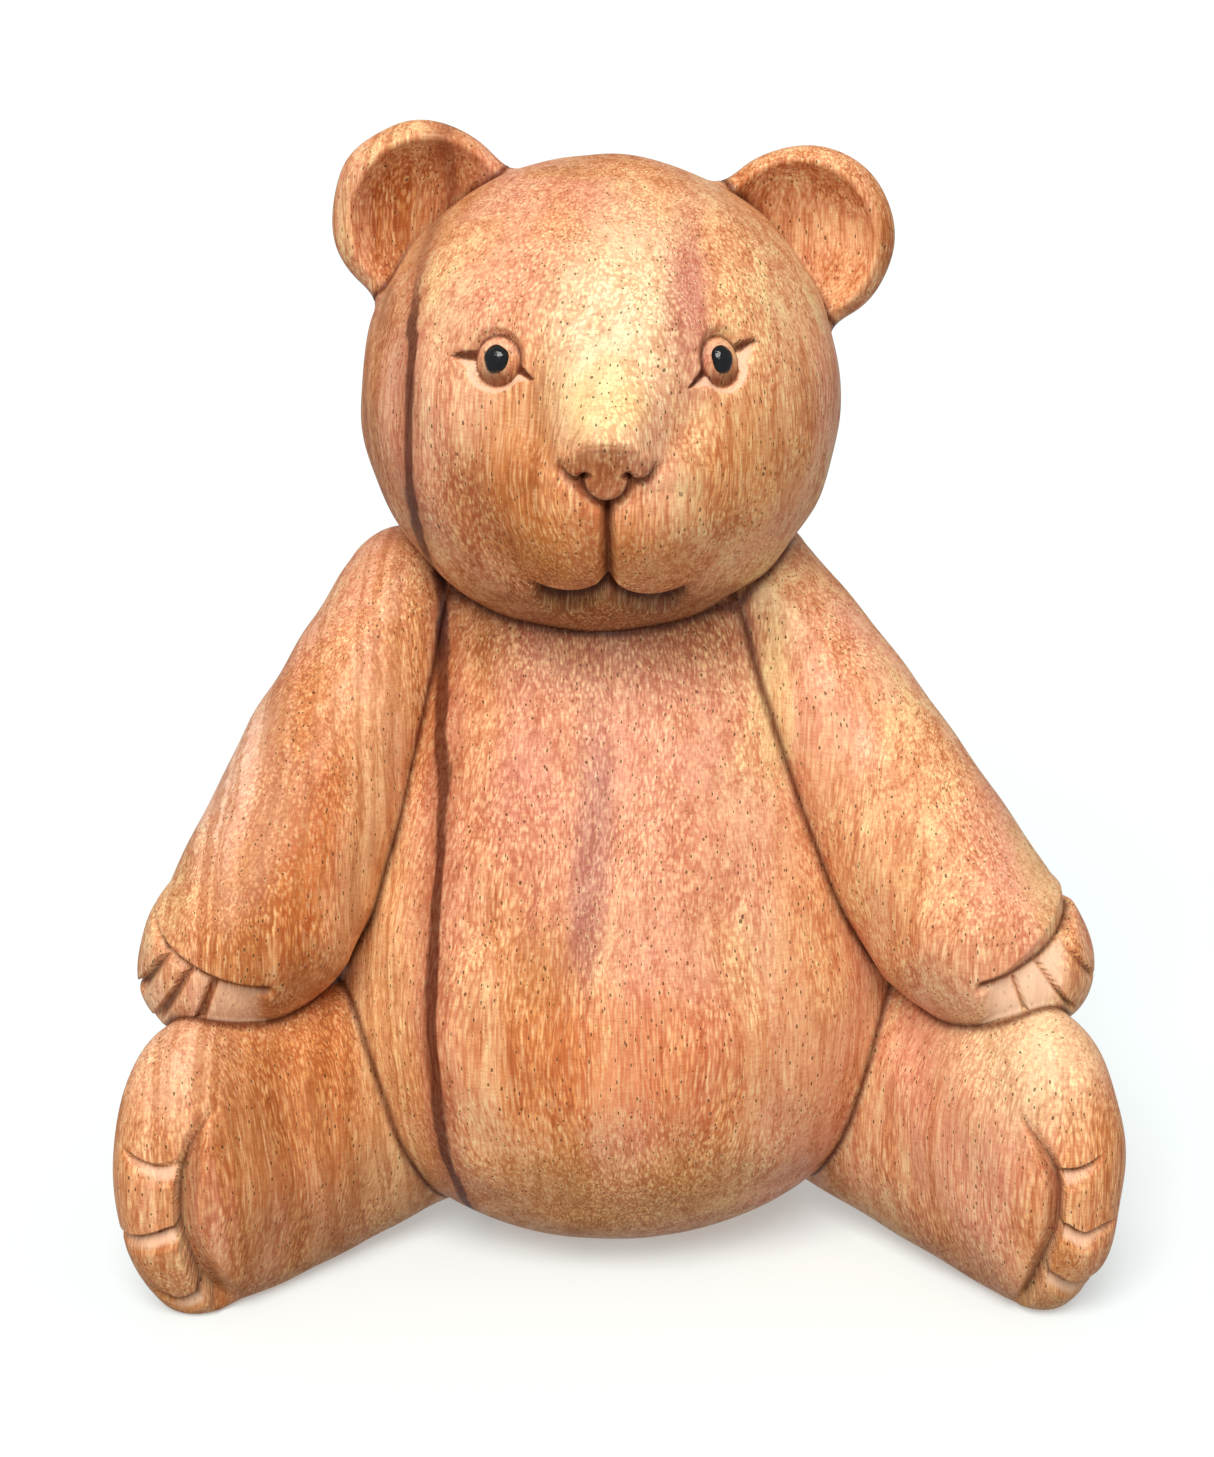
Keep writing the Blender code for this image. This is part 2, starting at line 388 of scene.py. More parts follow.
# Each eye: how far the knob in the middle reaches out and up, the tips of the outer and the inner corner cut,
# as (out, up) from the middle of the eye, and the half width and half height of the drop of enamel.
EYES = {
    "right": {"reach": (3.0, 3.05), "outer": (6.5, 0.2), "inner": (-5.5, -2.0), "drop": (1.55, 1.73)},
    "left": {"reach": (2.6, 3.1), "outer": (5.7, 2.3), "inner": (-5.2, -2.9), "drop": (1.36, 1.73)},
}
EYE_CUT_WIDTH = 0.9
OUTER_NOTCH_DEPTH = 2.0
INNER_NOTCH_DEPTH = 1.8


def eye_place(side):
    """The middle of an eye on the head's ball, and the directions out along it, up along it and away."""
    centre = middle(f"{side}_eye")
    centre[1] = -ball_front(centre[0], centre[2])
    normal = (centre - HEAD) / HEAD_RADII**2
    normal = normal / np.linalg.norm(normal)
    up = np.array([0.0, 0.0, 1.0]) - normal[2] * normal
    up = up / np.linalg.norm(up)
    out = np.cross(normal, up)
    if out[0] * SIDES[side] < 0:
        out = -out
    return centre, out, up, normal


def corner_cut(a, b, tip, depth):
    """A notch that narrows to its tip: its depth, and how far a place is on its upper and its lower wall."""
    length = math.hypot(*tip)
    run = (a * tip[0] + b * tip[1]) / length
    rise = (b * abs(tip[0]) - a * tip[1] * np.sign(tip[0])) / length
    left = np.clip((length - run) / (length - 2.0), 0, 1) * ease(run, 0.5, 2.0)
    wall = np.where(rise > 0, 1 - rise / (1.5 * left + 1e-6), 1 + rise / (2.9 * left + 1e-6))
    wall = np.clip(wall, 0, 1)
    lower = ease(wall, 0.05, 0.45) * ease(-rise, 0.2, 0.5)
    return depth * np.sqrt(left) * wall, ease(wall, 0.0, 0.2) * ease(rise, -0.5, -0.15), lower


def eye_cuts(p):
    """Depth of the cuts round both eyes, the painted shade in the ring cut, on the notches' upper walls and
    on the knob's lower half, and the painted light on the lower rim, the notches' lower walls and the knob's
    top.

    share is 1 on the rim of the knob. The ring cut falls away from there on both sides: in a line outside,
    and as share^2.4 on the knob, which leaves its middle standing.
    """
    depth = np.zeros(p.shape[:-1])
    dirt_and_shade = np.zeros(p.shape[:-1])
    fresh_and_lit = np.zeros(p.shape[:-1])
    for side, eye in EYES.items():
        centre, out, up, normal = eye_place(side)
        q = p - centre
        a, b = q @ out, q @ up
        near = (np.abs(a) < 9) & (np.abs(b) < 6) & (q @ normal > -6)
        share = np.hypot(a / eye["reach"][0], b / eye["reach"][1])
        outside = share > 1
        knob = np.where(outside, 1 - (share - 1) * eye["reach"][0] / EYE_CUT_WIDTH, share**2.4)
        cut = bpy.context.scene.bear_forms.eye_cut_depth / MM * np.clip(knob, 0, 1)
        level = b / eye["reach"][1]
        # Painted shade: the ring cut is dark, and the knob darkens towards its lower half.
        low_down = (0.3 + 0.5 * ease(-level, 0.1, 0.75)) * ~outside
        dark = np.maximum(0.95 * ease(1 - np.abs(share - 0.98) / 0.17, 0, 1), low_down)
        # Painted light: the rim below the ring cut and the top of the knob are paler.
        pale = ease(-level, -0.3, 0.6) * ease(share, 1.06, 1.14) * (1 - ease(share, 1.22, 1.4))
        pale = np.maximum(pale, 0.45 * ease(level, 0.1, 0.5) * ease(share, 0.98, 0.8))
        # Painted shade on each notch's upper wall, painted light on its lower wall.
        for tip, deep in ((eye["outer"], OUTER_NOTCH_DEPTH), (eye["inner"], INNER_NOTCH_DEPTH)):
            notch, upper, lower = corner_cut(a, b, tip, deep)
            cut = np.where(outside, np.maximum(cut, notch), cut)
            dark = np.where(outside, np.maximum(dark, upper), dark)
            pale = np.where(outside, np.maximum(pale, lower) * (1 - upper), pale)
        depth = np.where(near, np.maximum(depth, cut), depth)
        dirt_and_shade = np.where(near, np.maximum(dirt_and_shade, dark), dirt_and_shade)
        fresh_and_lit = np.where(near, np.maximum(fresh_and_lit, pale), fresh_and_lit)
    return depth, dirt_and_shade, fresh_and_lit


def head_field(p):
    """The ball, with the face brought forward by its relief and the eye cuts taken off."""
    relief, _ = face_relief(p[..., 0], p[..., 2])
    front = ease(HEAD[1] - p[..., 1], 5.0, 14.0)
    return ball_field(p) - relief * front + eye_cuts(p)[0]


# ---------------------------------------------------------------- the paws and the feet

# The knuckle line and the toe lines, as x and z of their points from the bear's right to its left. Below
# each line the wood is chipped away. The slits between the fingers run from (x, z) on the knuckle line to
# (x, z) at the paw's edge.
KNUCKLES = {
    "right": ((-58.6, -57.4, -55.2, -52.4, -48.0, -43.4, -42.0), (52.8, 51.0, 48.8, 47.1, 45.1, 43.9, 43.7)),
    "left": ((46.2, 47.2, 50.1, 53.4, 57.5, 59.9, 60.6), (44.5, 44.8, 45.9, 47.8, 50.6, 53.0, 54.2)),
}
SLITS = {
    "right": (((-55.0, 49.0), (-59.8, 41.6)), ((-52.3, 47.0), (-57.6, 38.0)), ((-49.4, 45.6), (-52.2, 38.2))),
    "left": (((57.2, 50.4), (62.2, 43.2)), ((54.0, 47.6), (59.4, 39.8)), ((51.2, 45.6), (54.8, 36.2))),
}
SLIT_HALF_WIDTH = {"right": 0.85, "left": 0.5}
KNUCKLE_WALL = {"right": 0.4, "left": 0.95}
KNUCKLE_FADES = {"right": (3.5, 1.3), "left": (1.3, 1.6)}
FINGER_LENGTH = 9.5
SLIT_DEPTH = 1.3
RIGHT_BEVEL = 0.4
LEFT_BEVEL = (0.5, 2.7)  # at the inner and at the outer end of the knuckle line
RIGHT_FINGER_SHARE = 0.7  # the right paw's cut is shallower by this
PAW_PALE = {"right": 0.6, "left": 0.9}  # the pale of the knife's facets, fresh wood and painted light, is stronger on the left paw
TOE_LINES = {
    "right": (
        ((-61.6, -60.0, -56.1, -53.8, -52.2), (25.0, 24.3, 23.5, 24.2, 25.2)),
        ((-63.4, -61.4, -58.7, -55.4, -53.0), (12.8, 12.7, 13.5, 14.9, 15.6)),
        ((-58.8, -56.9, -55.1, -52.4, -51.0), (5.6, 4.4, 3.7, 4.9, 5.6)),
    ),
    "left": (
        ((56.4, 57.2, 59.2, 61.4, 62.6), (23.4, 23.3, 23.5, 24.4, 25.2)),
        ((56.8, 58.0, 60.4, 62.6, 65.2), (16.2, 15.7, 14.3, 14.9, 14.7)),
        ((55.6, 57.0, 59.8, 62.4, 64.6), (8.9, 8.0, 6.1, 6.6, 7.6)),
    ),
}
TOE_DEPTH = 1.35
TOE_RAMP = 2.8
TOE_WALL = 0.4
# The groove between the toes and the sole: heights, then x of its toe side and of its sole side.
TOE_GROOVES = {
    "right": ((0.0, 5.0, 9.0, 14.5, 20.0, 24.5, 27.8, 30.4),
              (-50.0, -52.6, -53.6, -54.6, -54.6, -53.7, -52.3, -49.6),
              (-45.8, -48.0, -49.7, -50.9, -50.6, -50.4, -50.0, -48.5)),
    "left": ((0.0, 3.5, 8.4, 13.0, 17.5, 21.3, 25.0, 29.6),
             (53.4, 54.9, 56.3, 57.4, 57.8, 57.6, 56.2, 52.4),
             (51.4, 52.6, 53.6, 54.6, 54.9, 54.6, 53.4, 51.4)),
}


def chip(x, z, line, depth, ramp, wall, fades, bevel=0.15):
    """Below a line, a steep wall and a flat facet that rises back to the surface over the ramp.

    Above the line a bevel leads into the wall. fades are the lengths over which the line runs out at its two
    ends; the facet runs out over three times as much. Gives the depth, the painted shadow below the line and
    on its bevel, and the painted light on the facet.
    """
    xs, zs = line
    below = hermite(x, xs, zs) - z
    ends = ease(x, xs[0], xs[0] + fades[0]) * (1 - ease(x, xs[-1] - fades[1], xs[-1]))
    broad = ease(x, xs[0], xs[0] + 3 * fades[0]) * (1 - ease(x, xs[-1] - 3 * fades[1], xs[-1]))
    broad = ends + (broad - ends) * ease(below, 0.3, 2.0)
    lip = np.clip(1 + below / bevel, 0, 1) * (below <= 0)
    facet = np.clip(0.5 + 0.5 * below / wall, 0, 1) * np.clip(1 - (below - wall) / ramp, 0, 1) * (below > 0)
    # Painted shadow under the overhanging line and on its bevel; painted light on the facet below, which
    # faces up.
    dark = ease(below, 0.0, 0.1) * (1 - ease(below, 0.5 * wall, wall + 0.4))
    dark = ends * np.maximum(dark, lip * (0.55 + 0.45 * ease(lip, 0.7, 1.0)))
    pale = broad * ease(below, wall, wall + 0.5) * (1 - ease(below, 0.65 * ramp, 1.05 * ramp))
    return depth * broad * np.maximum(facet, 0.5 * lip), dark, pale


def slit(x, z, start, end, half_width, depth):
    """A channel with steep walls that deepens from its start to its end, and runs on past it."""
    (x0, z0), (x1, z1) = start, end
    length = math.hypot(x1 - x0, z1 - z0)
    ux, uz = (x1 - x0) / length, (z1 - z0) / length
    run = ((x - x0) * ux + (z - z0) * uz) / length
    aside = np.abs((x - x0) * uz - (z - z0) * ux)
    share = np.clip((half_width * (0.75 + 0.25 * np.clip(run, 0, 1)) - aside) / 0.4, 0, 1)
    share = share * ease(run, -0.04, 0.1) * (1 - ease(run, 0.85, 1.15))
    return depth * share, share


def paw_cuts(p, side):
    """Depth of the chips and slits that make the four fingers, the painted shade in them, and the pale of
    their facets, fresh wood and painted light.
    """
    x, z = p[..., 0], p[..., 2]
    front = ease(-p[..., 1], 15.0, 20.0)
    narrow, broad = LEFT_BEVEL
    bevel = RIGHT_BEVEL if side == "right" else narrow + (broad - narrow) * ease(x, 48.0, 58.0)
    deep = bpy.context.scene.bear_forms.finger_depth / MM * (RIGHT_FINGER_SHARE if side == "right" else 1.0)
    depth, dirt_and_shade, pale = chip(
        x, z, KNUCKLES[side], deep, FINGER_LENGTH, KNUCKLE_WALL[side], KNUCKLE_FADES[side], bevel)
    below = hermite(x, *KNUCKLES[side]) - z
    for start, end in SLITS[side]:
        cut, share = slit(x, z, start, end, SLIT_HALF_WIDTH[side], SLIT_DEPTH)
        depth = depth + cut * ease(below, -0.1, 0.5)
        share = share * ease(below, -0.1, 0.5)
        # Painted shade in the slits between the fingers.
        dirt_and_shade = np.maximum(dirt_and_shade, 0.65 * share)
        pale = pale * (1 - share)
    return depth * front, dirt_and_shade * front, PAW_PALE[side] * pale * front


def foot_cuts(p, side):
    """Depth of the groove behind the toes and of the chips between them, the painted shade in them, and the
    painted light on their facets.
    """
    x, z = p[..., 0], p[..., 2]
    front = ease(-p[..., 1], 22.0, 29.0)
    heights, toe_side, sole_side = TOE_GROOVES[side]
    toe_x, sole_x = hermite(z, heights, toe_side), hermite(z, heights, sole_side)
    width = np.abs(sole_x - toe_x)
    across = (x - toe_x) / np.where(width < 0.5, 0.5 * SIDES[side], sole_x - toe_x)
    shape = np.clip(across * width / 0.45, 0, 1) * np.clip((1 - across) / 0.75, 0, 1)
    ends = ease(z, 0.0, 5.0) * (1 - ease(z, heights[-1] - 2.5, heights[-1]))
    depth = bpy.context.scene.bear_forms.toe_groove_depth / MM * ends * shape
    # Painted shade: the groove between the toes and the sole is darkened, most at its toe side.
    dirt_and_shade = ends * (0.55 * ease(shape, 0.0, 0.5) + 0.3 * np.exp(-((across * width - 0.5) / 0.45) ** 2))
    past = ease(SIDES[side] * (x - toe_x), -0.4, 0.3)
    fades = (2.2, 0.3) if side == "right" else (0.3, 2.2)
    pale = np.zeros(x.shape)
    for line in TOE_LINES[side]:
        cut, mark, facet = chip(x, z, line, TOE_DEPTH, TOE_RAMP, TOE_WALL, fades)
        depth = np.maximum(depth, cut * past)
        dirt_and_shade = np.maximum(dirt_and_shade, mark * past)
        pale = np.maximum(pale, facet * past)
    return depth * front, dirt_and_shade * front, 0.75 * pale * front


def arm_carved(p, side):
    """The arm's field, raised by the depth of the cuts."""
    return arm_field(p, side) + paw_cuts(p, side)[0]


def leg_carved(p, side):
    """The leg's field, raised by the depth of the cuts."""
    return leg_field(p, side) + foot_cuts(p, side)[0]


# ---------------------------------------------------------------- how the forms meet

def meeting(name, other, p):
    """Width of the fillet between two forms, in millimetres."""
    pair = {name, other}
    z = p[..., 2]
    if pair & {"right_ear", "left_ear"}:
        side = "right" if "right_ear" in pair else "left"
        return 0.7 + 3.0 * ease(ear_dish(p, side), -0.5, 2.0)
    if "head" in pair:
        return 0.9
    if "torso" in pair and pair & {"right_arm", "left_arm"}:
        return 1.2 + 6.0 * ease(z, 72.0, 92.0)
    if "torso" in pair:
        return 2.0
    return 1.0


NEIGHBOURS = {
    "torso": ("head", "right_arm", "left_arm", "right_leg", "left_leg"),
    "head": ("torso", "right_arm", "left_arm", "right_ear", "left_ear"),
    "right_arm": ("torso", "head", "right_leg"),
    "left_arm": ("torso", "head", "left_leg"),
    "right_leg": ("torso", "right_arm"),
    "left_leg": ("torso", "left_arm"),
    "right_ear": ("head",),
    "left_ear": ("head",),
}
CARVED = dict(PLAIN, head=head_field)
for side_name in SIDES:
    CARVED[f"{side_name}_arm"] = lambda p, side=side_name: arm_carved(p, side)
    CARVED[f"{side_name}_leg"] = lambda p, side=side_name: leg_carved(p, side)


def joined(name, p, carved=True):
    """The form's field, less (k - |a - b|)^2 / 4k next to a neighbour, so that the two share a fillet."""
    a = CARVED[name](p) if carved else PLAIN[name](p)
    lowered = np.zeros(a.shape)
    for other in NEIGHBOURS[name]:
        k = meeting(name, other, p)
        lowered = np.maximum(lowered, np.maximum(k - np.abs(a - PLAIN[other](p)), 0) ** 2 / (4 * k))
    return a - lowered + hand_waver(p)


def crease_dirt_and_shade(name, p):
    """Dirt and painted shade: 1 in the crease between two forms, fading over about 2 mm."""
    a = PLAIN[name](p)
    dirt_and_shade = np.zeros(a.shape)
    for other in NEIGHBOURS[name]:
        apart = np.abs(a - PLAIN[other](p))
        dirt_and_shade = np.maximum(dirt_and_shade, 0.6 * np.exp(-((apart / 0.8) ** 2)) + 0.35 * np.exp(-((apart / 3.0) ** 2)))
    return dirt_and_shade


# ---------------------------------------------------------------- surfaces

def bisect(field, low, high, origins, directions, steps):
    """Halves the stretch of each ray in which the field changes sign."""
    for _ in range(steps):
        half = (low + high) / 2
        outside = field(origins + directions * half[..., None]) > 0
        high = np.where(outside, half, high)
        low = np.where(outside, low, half)
    return (low + high) / 2


def surface_on_rays(name, origins, directions, reach, proud=1.5):
    """First the plain form by halving, then the carved one, walked in from outside in short steps.

    proud is how far the carving may stand out of the plain form.
    """
    flat = (origins.reshape(-1, 3), directions.reshape(-1, 3))
    count = len(flat[0])
    rough = bisect(lambda p: joined(name, p, False), np.zeros(count), np.full(count, reach), *flat, 16)
    high = rough + proud
    low = rough - CUT_REACH
    found = np.zeros(count, bool)
    for step in np.arange(proud, -CUT_REACH, -WALK_STEP):
        there = rough + step
        inside = joined(name, flat[0] + flat[1] * there[:, None]) < 0
        low = np.where(inside & ~found, there, low)
        high = np.where(found | inside, high, there)
        found |= inside
    along = bisect(lambda p: joined(name, p), low, high, *flat, 11)
    return (flat[0] + flat[1] * along[:, None]).reshape(origins.shape)


def closed_grid(points):
    """The vertices, the quads and the two end fans of a grid whose first and last rows are poles."""
    rows, columns = points.shape[:2]
    vertices = np.concatenate([points[0, :1], points[1:-1].reshape(-1, 3), points[-1, :1]])
    index = 1 + np.arange((rows - 2) * columns).reshape(rows - 2, columns)
    after = np.roll(index, -1, axis=1)
    quads = np.stack([index[:-1], index[1:], after[1:], after[:-1]], -1).reshape(-1, 4)
    last = len(vertices) - 1
    first_fan = np.stack([np.zeros(columns, int), index[0], after[0]], -1)
    last_fan = np.stack([np.full(columns, last), after[-1], index[-1]], -1)
    return vertices, quads, np.concatenate([first_fan, last_fan])


def make_mesh(name, points, attributes=()):
    """A smooth mesh object from a grid of points in millimetres, with a number per point for each attribute.

    No point lies below the floor. The sum of a . (b x c) over the quads is negative when they face inwards,
    and then they are turned round.
    """
    vertices, quads, fans = closed_grid(points)
    vertices[:, 2] = np.maximum(vertices[:, 2], 0.0)
    a, b, c = (vertices[quads[:, corner]] for corner in range(3))
    if np.einsum("ij,ij->i", a, np.cross(b, c)).sum() < 0:
        quads, fans = quads[:, ::-1], fans[:, ::-1]
    mesh = bpy.data.meshes.new(name)
    loops = np.concatenate([quads.ravel(), fans.ravel()]).astype(np.int32)
    sizes = np.concatenate([np.full(len(quads), 4), np.full(len(fans), 3)]).astype(np.int32)
    mesh.vertices.add(len(vertices))
    mesh.vertices.foreach_set("co", (vertices * MM).astype(np.float32).ravel())
    mesh.loops.add(len(loops))
    mesh.loops.foreach_set("vertex_index", loops)
    mesh.polygons.add(len(sizes))
    mesh.polygons.foreach_set("loop_start", np.concatenate([[0], np.cumsum(sizes)[:-1]]).astype(np.int32))
    mesh.update(calc_edges=True)
    if mesh.validate():
        raise RuntimeError(f"{name} has faces that Blender had to mend")
    mesh.shade_smooth()
    for key, grid in attributes:
        values = np.concatenate([grid[0, :1], grid[1:-1].ravel(), grid[-1, :1]])
        mesh.attributes.new(key, "FLOAT", "POINT").data.foreach_set("value", values.astype(np.float32))
    obj = bpy.data.objects.new(name, mesh)
    bpy.context.scene.collection.objects.link(obj)
    return obj


def spine_rays(start, end, across, start_radius, end_radius, rings, segments, crowding=0.0):
    """Rays from a spine: a quarter turn about its end, straight out along it, a quarter turn about its start.

    crowding, from 0 to 1, moves rings towards the end.
    """
    start, end = np.asarray(start, float), np.asarray(end, float)
    length = np.linalg.norm(end - start)
    along = (end - start) / length
    across = across - (across @ along) * along
    across = across / np.linalg.norm(across)
    other = np.cross(along, across)
    caps = (end_radius * math.pi / 2, start_radius * math.pi / 2)
    v = np.linspace(0, 1, rings)
    arc = ((1 - crowding) * v + crowding * v * v) * (caps[0] + length + caps[1])
    into_side = np.clip(arc - caps[0], 0, length)
    polar = np.minimum(arc / end_radius, math.pi / 2)
    polar = polar + np.maximum(arc - caps[0] - length, 0) / start_radius
    turn = np.linspace(0, 2 * math.pi, segments, endpoint=False)
    origins = np.broadcast_to((end - along * into_side[:, None])[:, None], (rings, segments, 3))
    ring = np.cos(turn)[:, None] * across + np.sin(turn)[:, None] * other
    directions = np.cos(polar)[:, None, None] * along + np.sin(polar)[:, None, None] * ring
    return origins.copy(), directions


def head_rays(rings, segments):
    """Rays from the middle of the head, with the pole on the nose and rings crowded over the face."""
    pole = unit(np.array([0.02, -1.0, -0.1]))
    across = unit(np.cross([0.0, 0.0, 1.0], pole))
    other = np.cross(pole, across)
    v = np.linspace(0, 1, rings)
    polar = math.pi * (0.46 * v + 0.54 * v**6)
    turn = np.linspace(0, 2 * math.pi, segments, endpoint=False)
    ring = np.cos(turn)[:, None] * across + np.sin(turn)[:, None] * other
    directions = np.cos(polar)[:, None, None] * pole + np.sin(polar)[:, None, None] * ring
    return np.broadcast_to(HEAD, directions.shape).copy(), directions


def ear_rays(side, rings, segments):
    """Rays from the middle of an ear's shell, turned about Y: from its back, round its rim, into its dish."""
    centre, radius = EARS[side]["centre"], EARS[side]["radius"]
    turn_at = 0.78 * radius
    v = np.linspace(0, 1, rings)
    out = np.clip(v / 0.3, 0, 1) * (1 - np.clip((v - 0.62) / 0.38, 0, 1)) * turn_at
    back = EAR_HALF_DEPTH * np.sqrt(1 - (out / radius) ** 2)
    dish = np.sqrt(DISH_RADIUS**2 - out**2) - DISH_FORWARD
    from_back = np.arctan2(out / radius**2, back / EAR_HALF_DEPTH**2)
    from_dish = math.pi + np.arctan2(out, dish + DISH_FORWARD)
    swing = ease(v, 0.3, 0.62) * 0.35 + np.clip((v - 0.3) / 0.32, 0, 1) * 0.65
    round_rim = from_back + (from_dish - from_back) * swing
    angle = np.where(v < 0.3, from_back, np.where(v > 0.62, from_dish, round_rim))
    turn = np.linspace(0, 2 * math.pi, segments, endpoint=False)
    circle = np.stack([np.cos(turn), np.zeros(segments), np.sin(turn)], -1)
    backwards = np.array([0.0, 1.0, 0.0])
    origins = centre + out[:, None, None] * circle + ((back + dish) / 2)[:, None, None] * backwards
    directions = np.sin(angle)[:, None, None] * circle + np.cos(angle)[:, None, None] * backwards
    return origins, directions


# ---------------------------------------------------------------- finishing touches

def hex_to_linear(code):
    """An sRGB hex colour as linear RGB with alpha 1."""
    channels = [int(code[i:i + 2], 16) / 255 for i in (1, 3, 5)]
    return (*[c / 12.92 if c <= 0.04045 else ((c + 0.055) / 1.055) ** 2.4 for c in channels], 1.0)


def add_piece(obj, node, material):
    """Gives a piece its material, puts it under the root body and hides the frame's node that it stands for.
    """
    obj.data.materials.append(material)
    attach(obj, "root")
    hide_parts(node)
    return obj


def add_node(tree, kind, inputs=None, take=0, **settings):
    """Adds a shader node and gives the output to take.

    inputs maps a socket's name or number to a value, or to another node's output.
    """
    node = tree.nodes.new("ShaderNode" + kind)
    for key, value in settings.items():
        setattr(node, key, value)
    for key, value in (inputs or {}).items():
        if isinstance(value, bpy.types.NodeSocket):
            tree.links.new(value, node.inputs[key])
        else:
            node.inputs[key].default_value = value
    return node.outputs[take]


# Colour zones of this block: the middle and the radii in millimetres, the colour, and how strongly it shows.
# Some are painted light or shade, as marked.
ZONES = (
    ((1.5, -38.0, 129.0), (10.0, 30.0, 17.0), "#FBE8BC", 0.80),  # forehead: the wood's pale patch, partly painted highlight on the brow that faces up
    ((0.5, -41.0, 121.0), (5.5, 12.0, 5.5), "#FBE0A0", 0.80),  # bridge: painted highlight where it faces up
    ((0.0, -43.5, 111.8), (6.5, 3.5, 4.2), "#B96C32", 0.85),  # front of the nose: painted shade where it faces down
    ((9.0, -33.0, 134.0), (4.0, 24.0, 12.0), "#C4736A", 0.75),  # mauve patch above the left eye; this and the next zone are partly painted shade of the hollow beside the bridge
    ((11.0, -36.0, 124.0), (3.6, 10.0, 6.0), "#C98070", 0.50),
    ((-11.0, -33.0, 131.0), (6.0, 24.0, 12.0), "#EDAE8E", 0.55),
    ((-13.0, -28.0, 106.0), (8.0, 24.0, 11.0), "#B8682C", 0.72),  # cheek beside the vein, darker by painted shade where it turns down and aside
    ((18.0, -30.0, 110.0), (9.0, 22.0, 12.0), "#DE9450", 0.60),
    ((0.5, -42.0, 101.0), (14.0, 18.0, 9.0), "#D0823A", 0.72),  # muzzle
    ((0.5, -30.0, 90.0), (26.0, 26.0, 7.5), "#84521A", 0.80),  # chin: painted shade on its underside
    ((0.0, -20.0, 86.0), (25.0, 30.0, 8.0), "#9C5A34", 0.80),  # neck: painted shade under the chin
    ((1.0, -24.0, 66.0), (18.0, 34.0, 24.0), "#EAA58C", 0.75),  # pink chest
    ((-2.6, -28.0, 60.0), (3.6, 26.0, 24.0), "#A4686A", 0.55),  # mauve streak down the middle
    ((-11.0, -24.0, 70.0), (5.0, 26.0, 22.0), "#DC9080", 0.45),
    ((3.0, -38.0, 34.0), (22.0, 24.0, 13.0), "#EA8B52", 0.60),  # orange belly
    ((3.0, -38.0, 14.0), (30.0, 30.0, 10.0), "#C98E52", 0.70),  # foot of the belly: painted shade, darker ochre towards the bottom
    ((27.0, -26.0, 48.0), (7.0, 26.0, 36.0), "#F0B27C", 0.60),  # straw flanks
    ((-29.5, -20.0, 40.0), (6.5, 26.0, 52.0), "#FAC890", 0.85),
    ((-38.0, -26.0, 60.0), (4.0, 20.0, 22.0), "#D07538", 0.60),  # inner sides of the arms
    ((38.0, -26.0, 56.0), (4.5, 20.0, 22.0), "#D6824A", 0.50),
    # Pale pink on the outer upper arms: the wood's colour, partly painted highlight where they face up.
    ((-48.0, -12.0, 68.0), (8.0, 26.0, 22.0), "#FFD2BA", 0.85),
    ((50.0, -14.0, 62.0), (6.0, 26.0, 12.0), "#F0AE92", 0.55),
    ((57.0, -22.0, 62.0), (5.0, 22.0, 16.0), "#F8D59A", 0.60),
    ((-55.0, -25.0, 36.0), (10.0, 22.0, 14.0), "#FACCAC", 0.75),  # tops of the feet, partly painted highlight where they face up
    ((54.0, -28.0, 35.0), (10.0, 22.0, 12.0), "#FBE2B6", 0.80),
    ((-38.0, -24.0, 26.0), (5.0, 16.0, 16.0), "#EE9C60", 0.60),
    ((-24.0, -4.0, 138.0), (9.5, 5.0, 9.5), "#A04C08", 0.94),  # dishes of the ears: painted shade inside the hollows
    ((25.0, -4.0, 135.0), (9.5, 5.0, 9.5), "#B45808", 0.90),
)


# Patterns of the grain: cycles per millimetre in X, Y and Z, and how much finer detail each one has.
GRAIN_PATTERNS = (
    ((0.07, 0.05, 0.006), 3.0),  # growth layers 15 mm thick
    ((0.65, 0.5, 0.014), 2.0),  # streaks 1.5 mm wide
    ((3.2, 3.2, 0.15), 1.0),  # fibres 0.3 mm wide
    ((0.055, 0.055, 0.012), 2.0),  # rosy patches 18 mm wide
    ((0.12, 0.12, 0.05), 1.0),  # where the pale sheaths crowd together, 8 mm wide
    ((0.9, 0.9, 4.0), 1.0),  # ripple marks: short level lines 0.25 mm apart
)
VEIN_PLACE = 15.3  # how far to the bear's right the vein lies at the origin


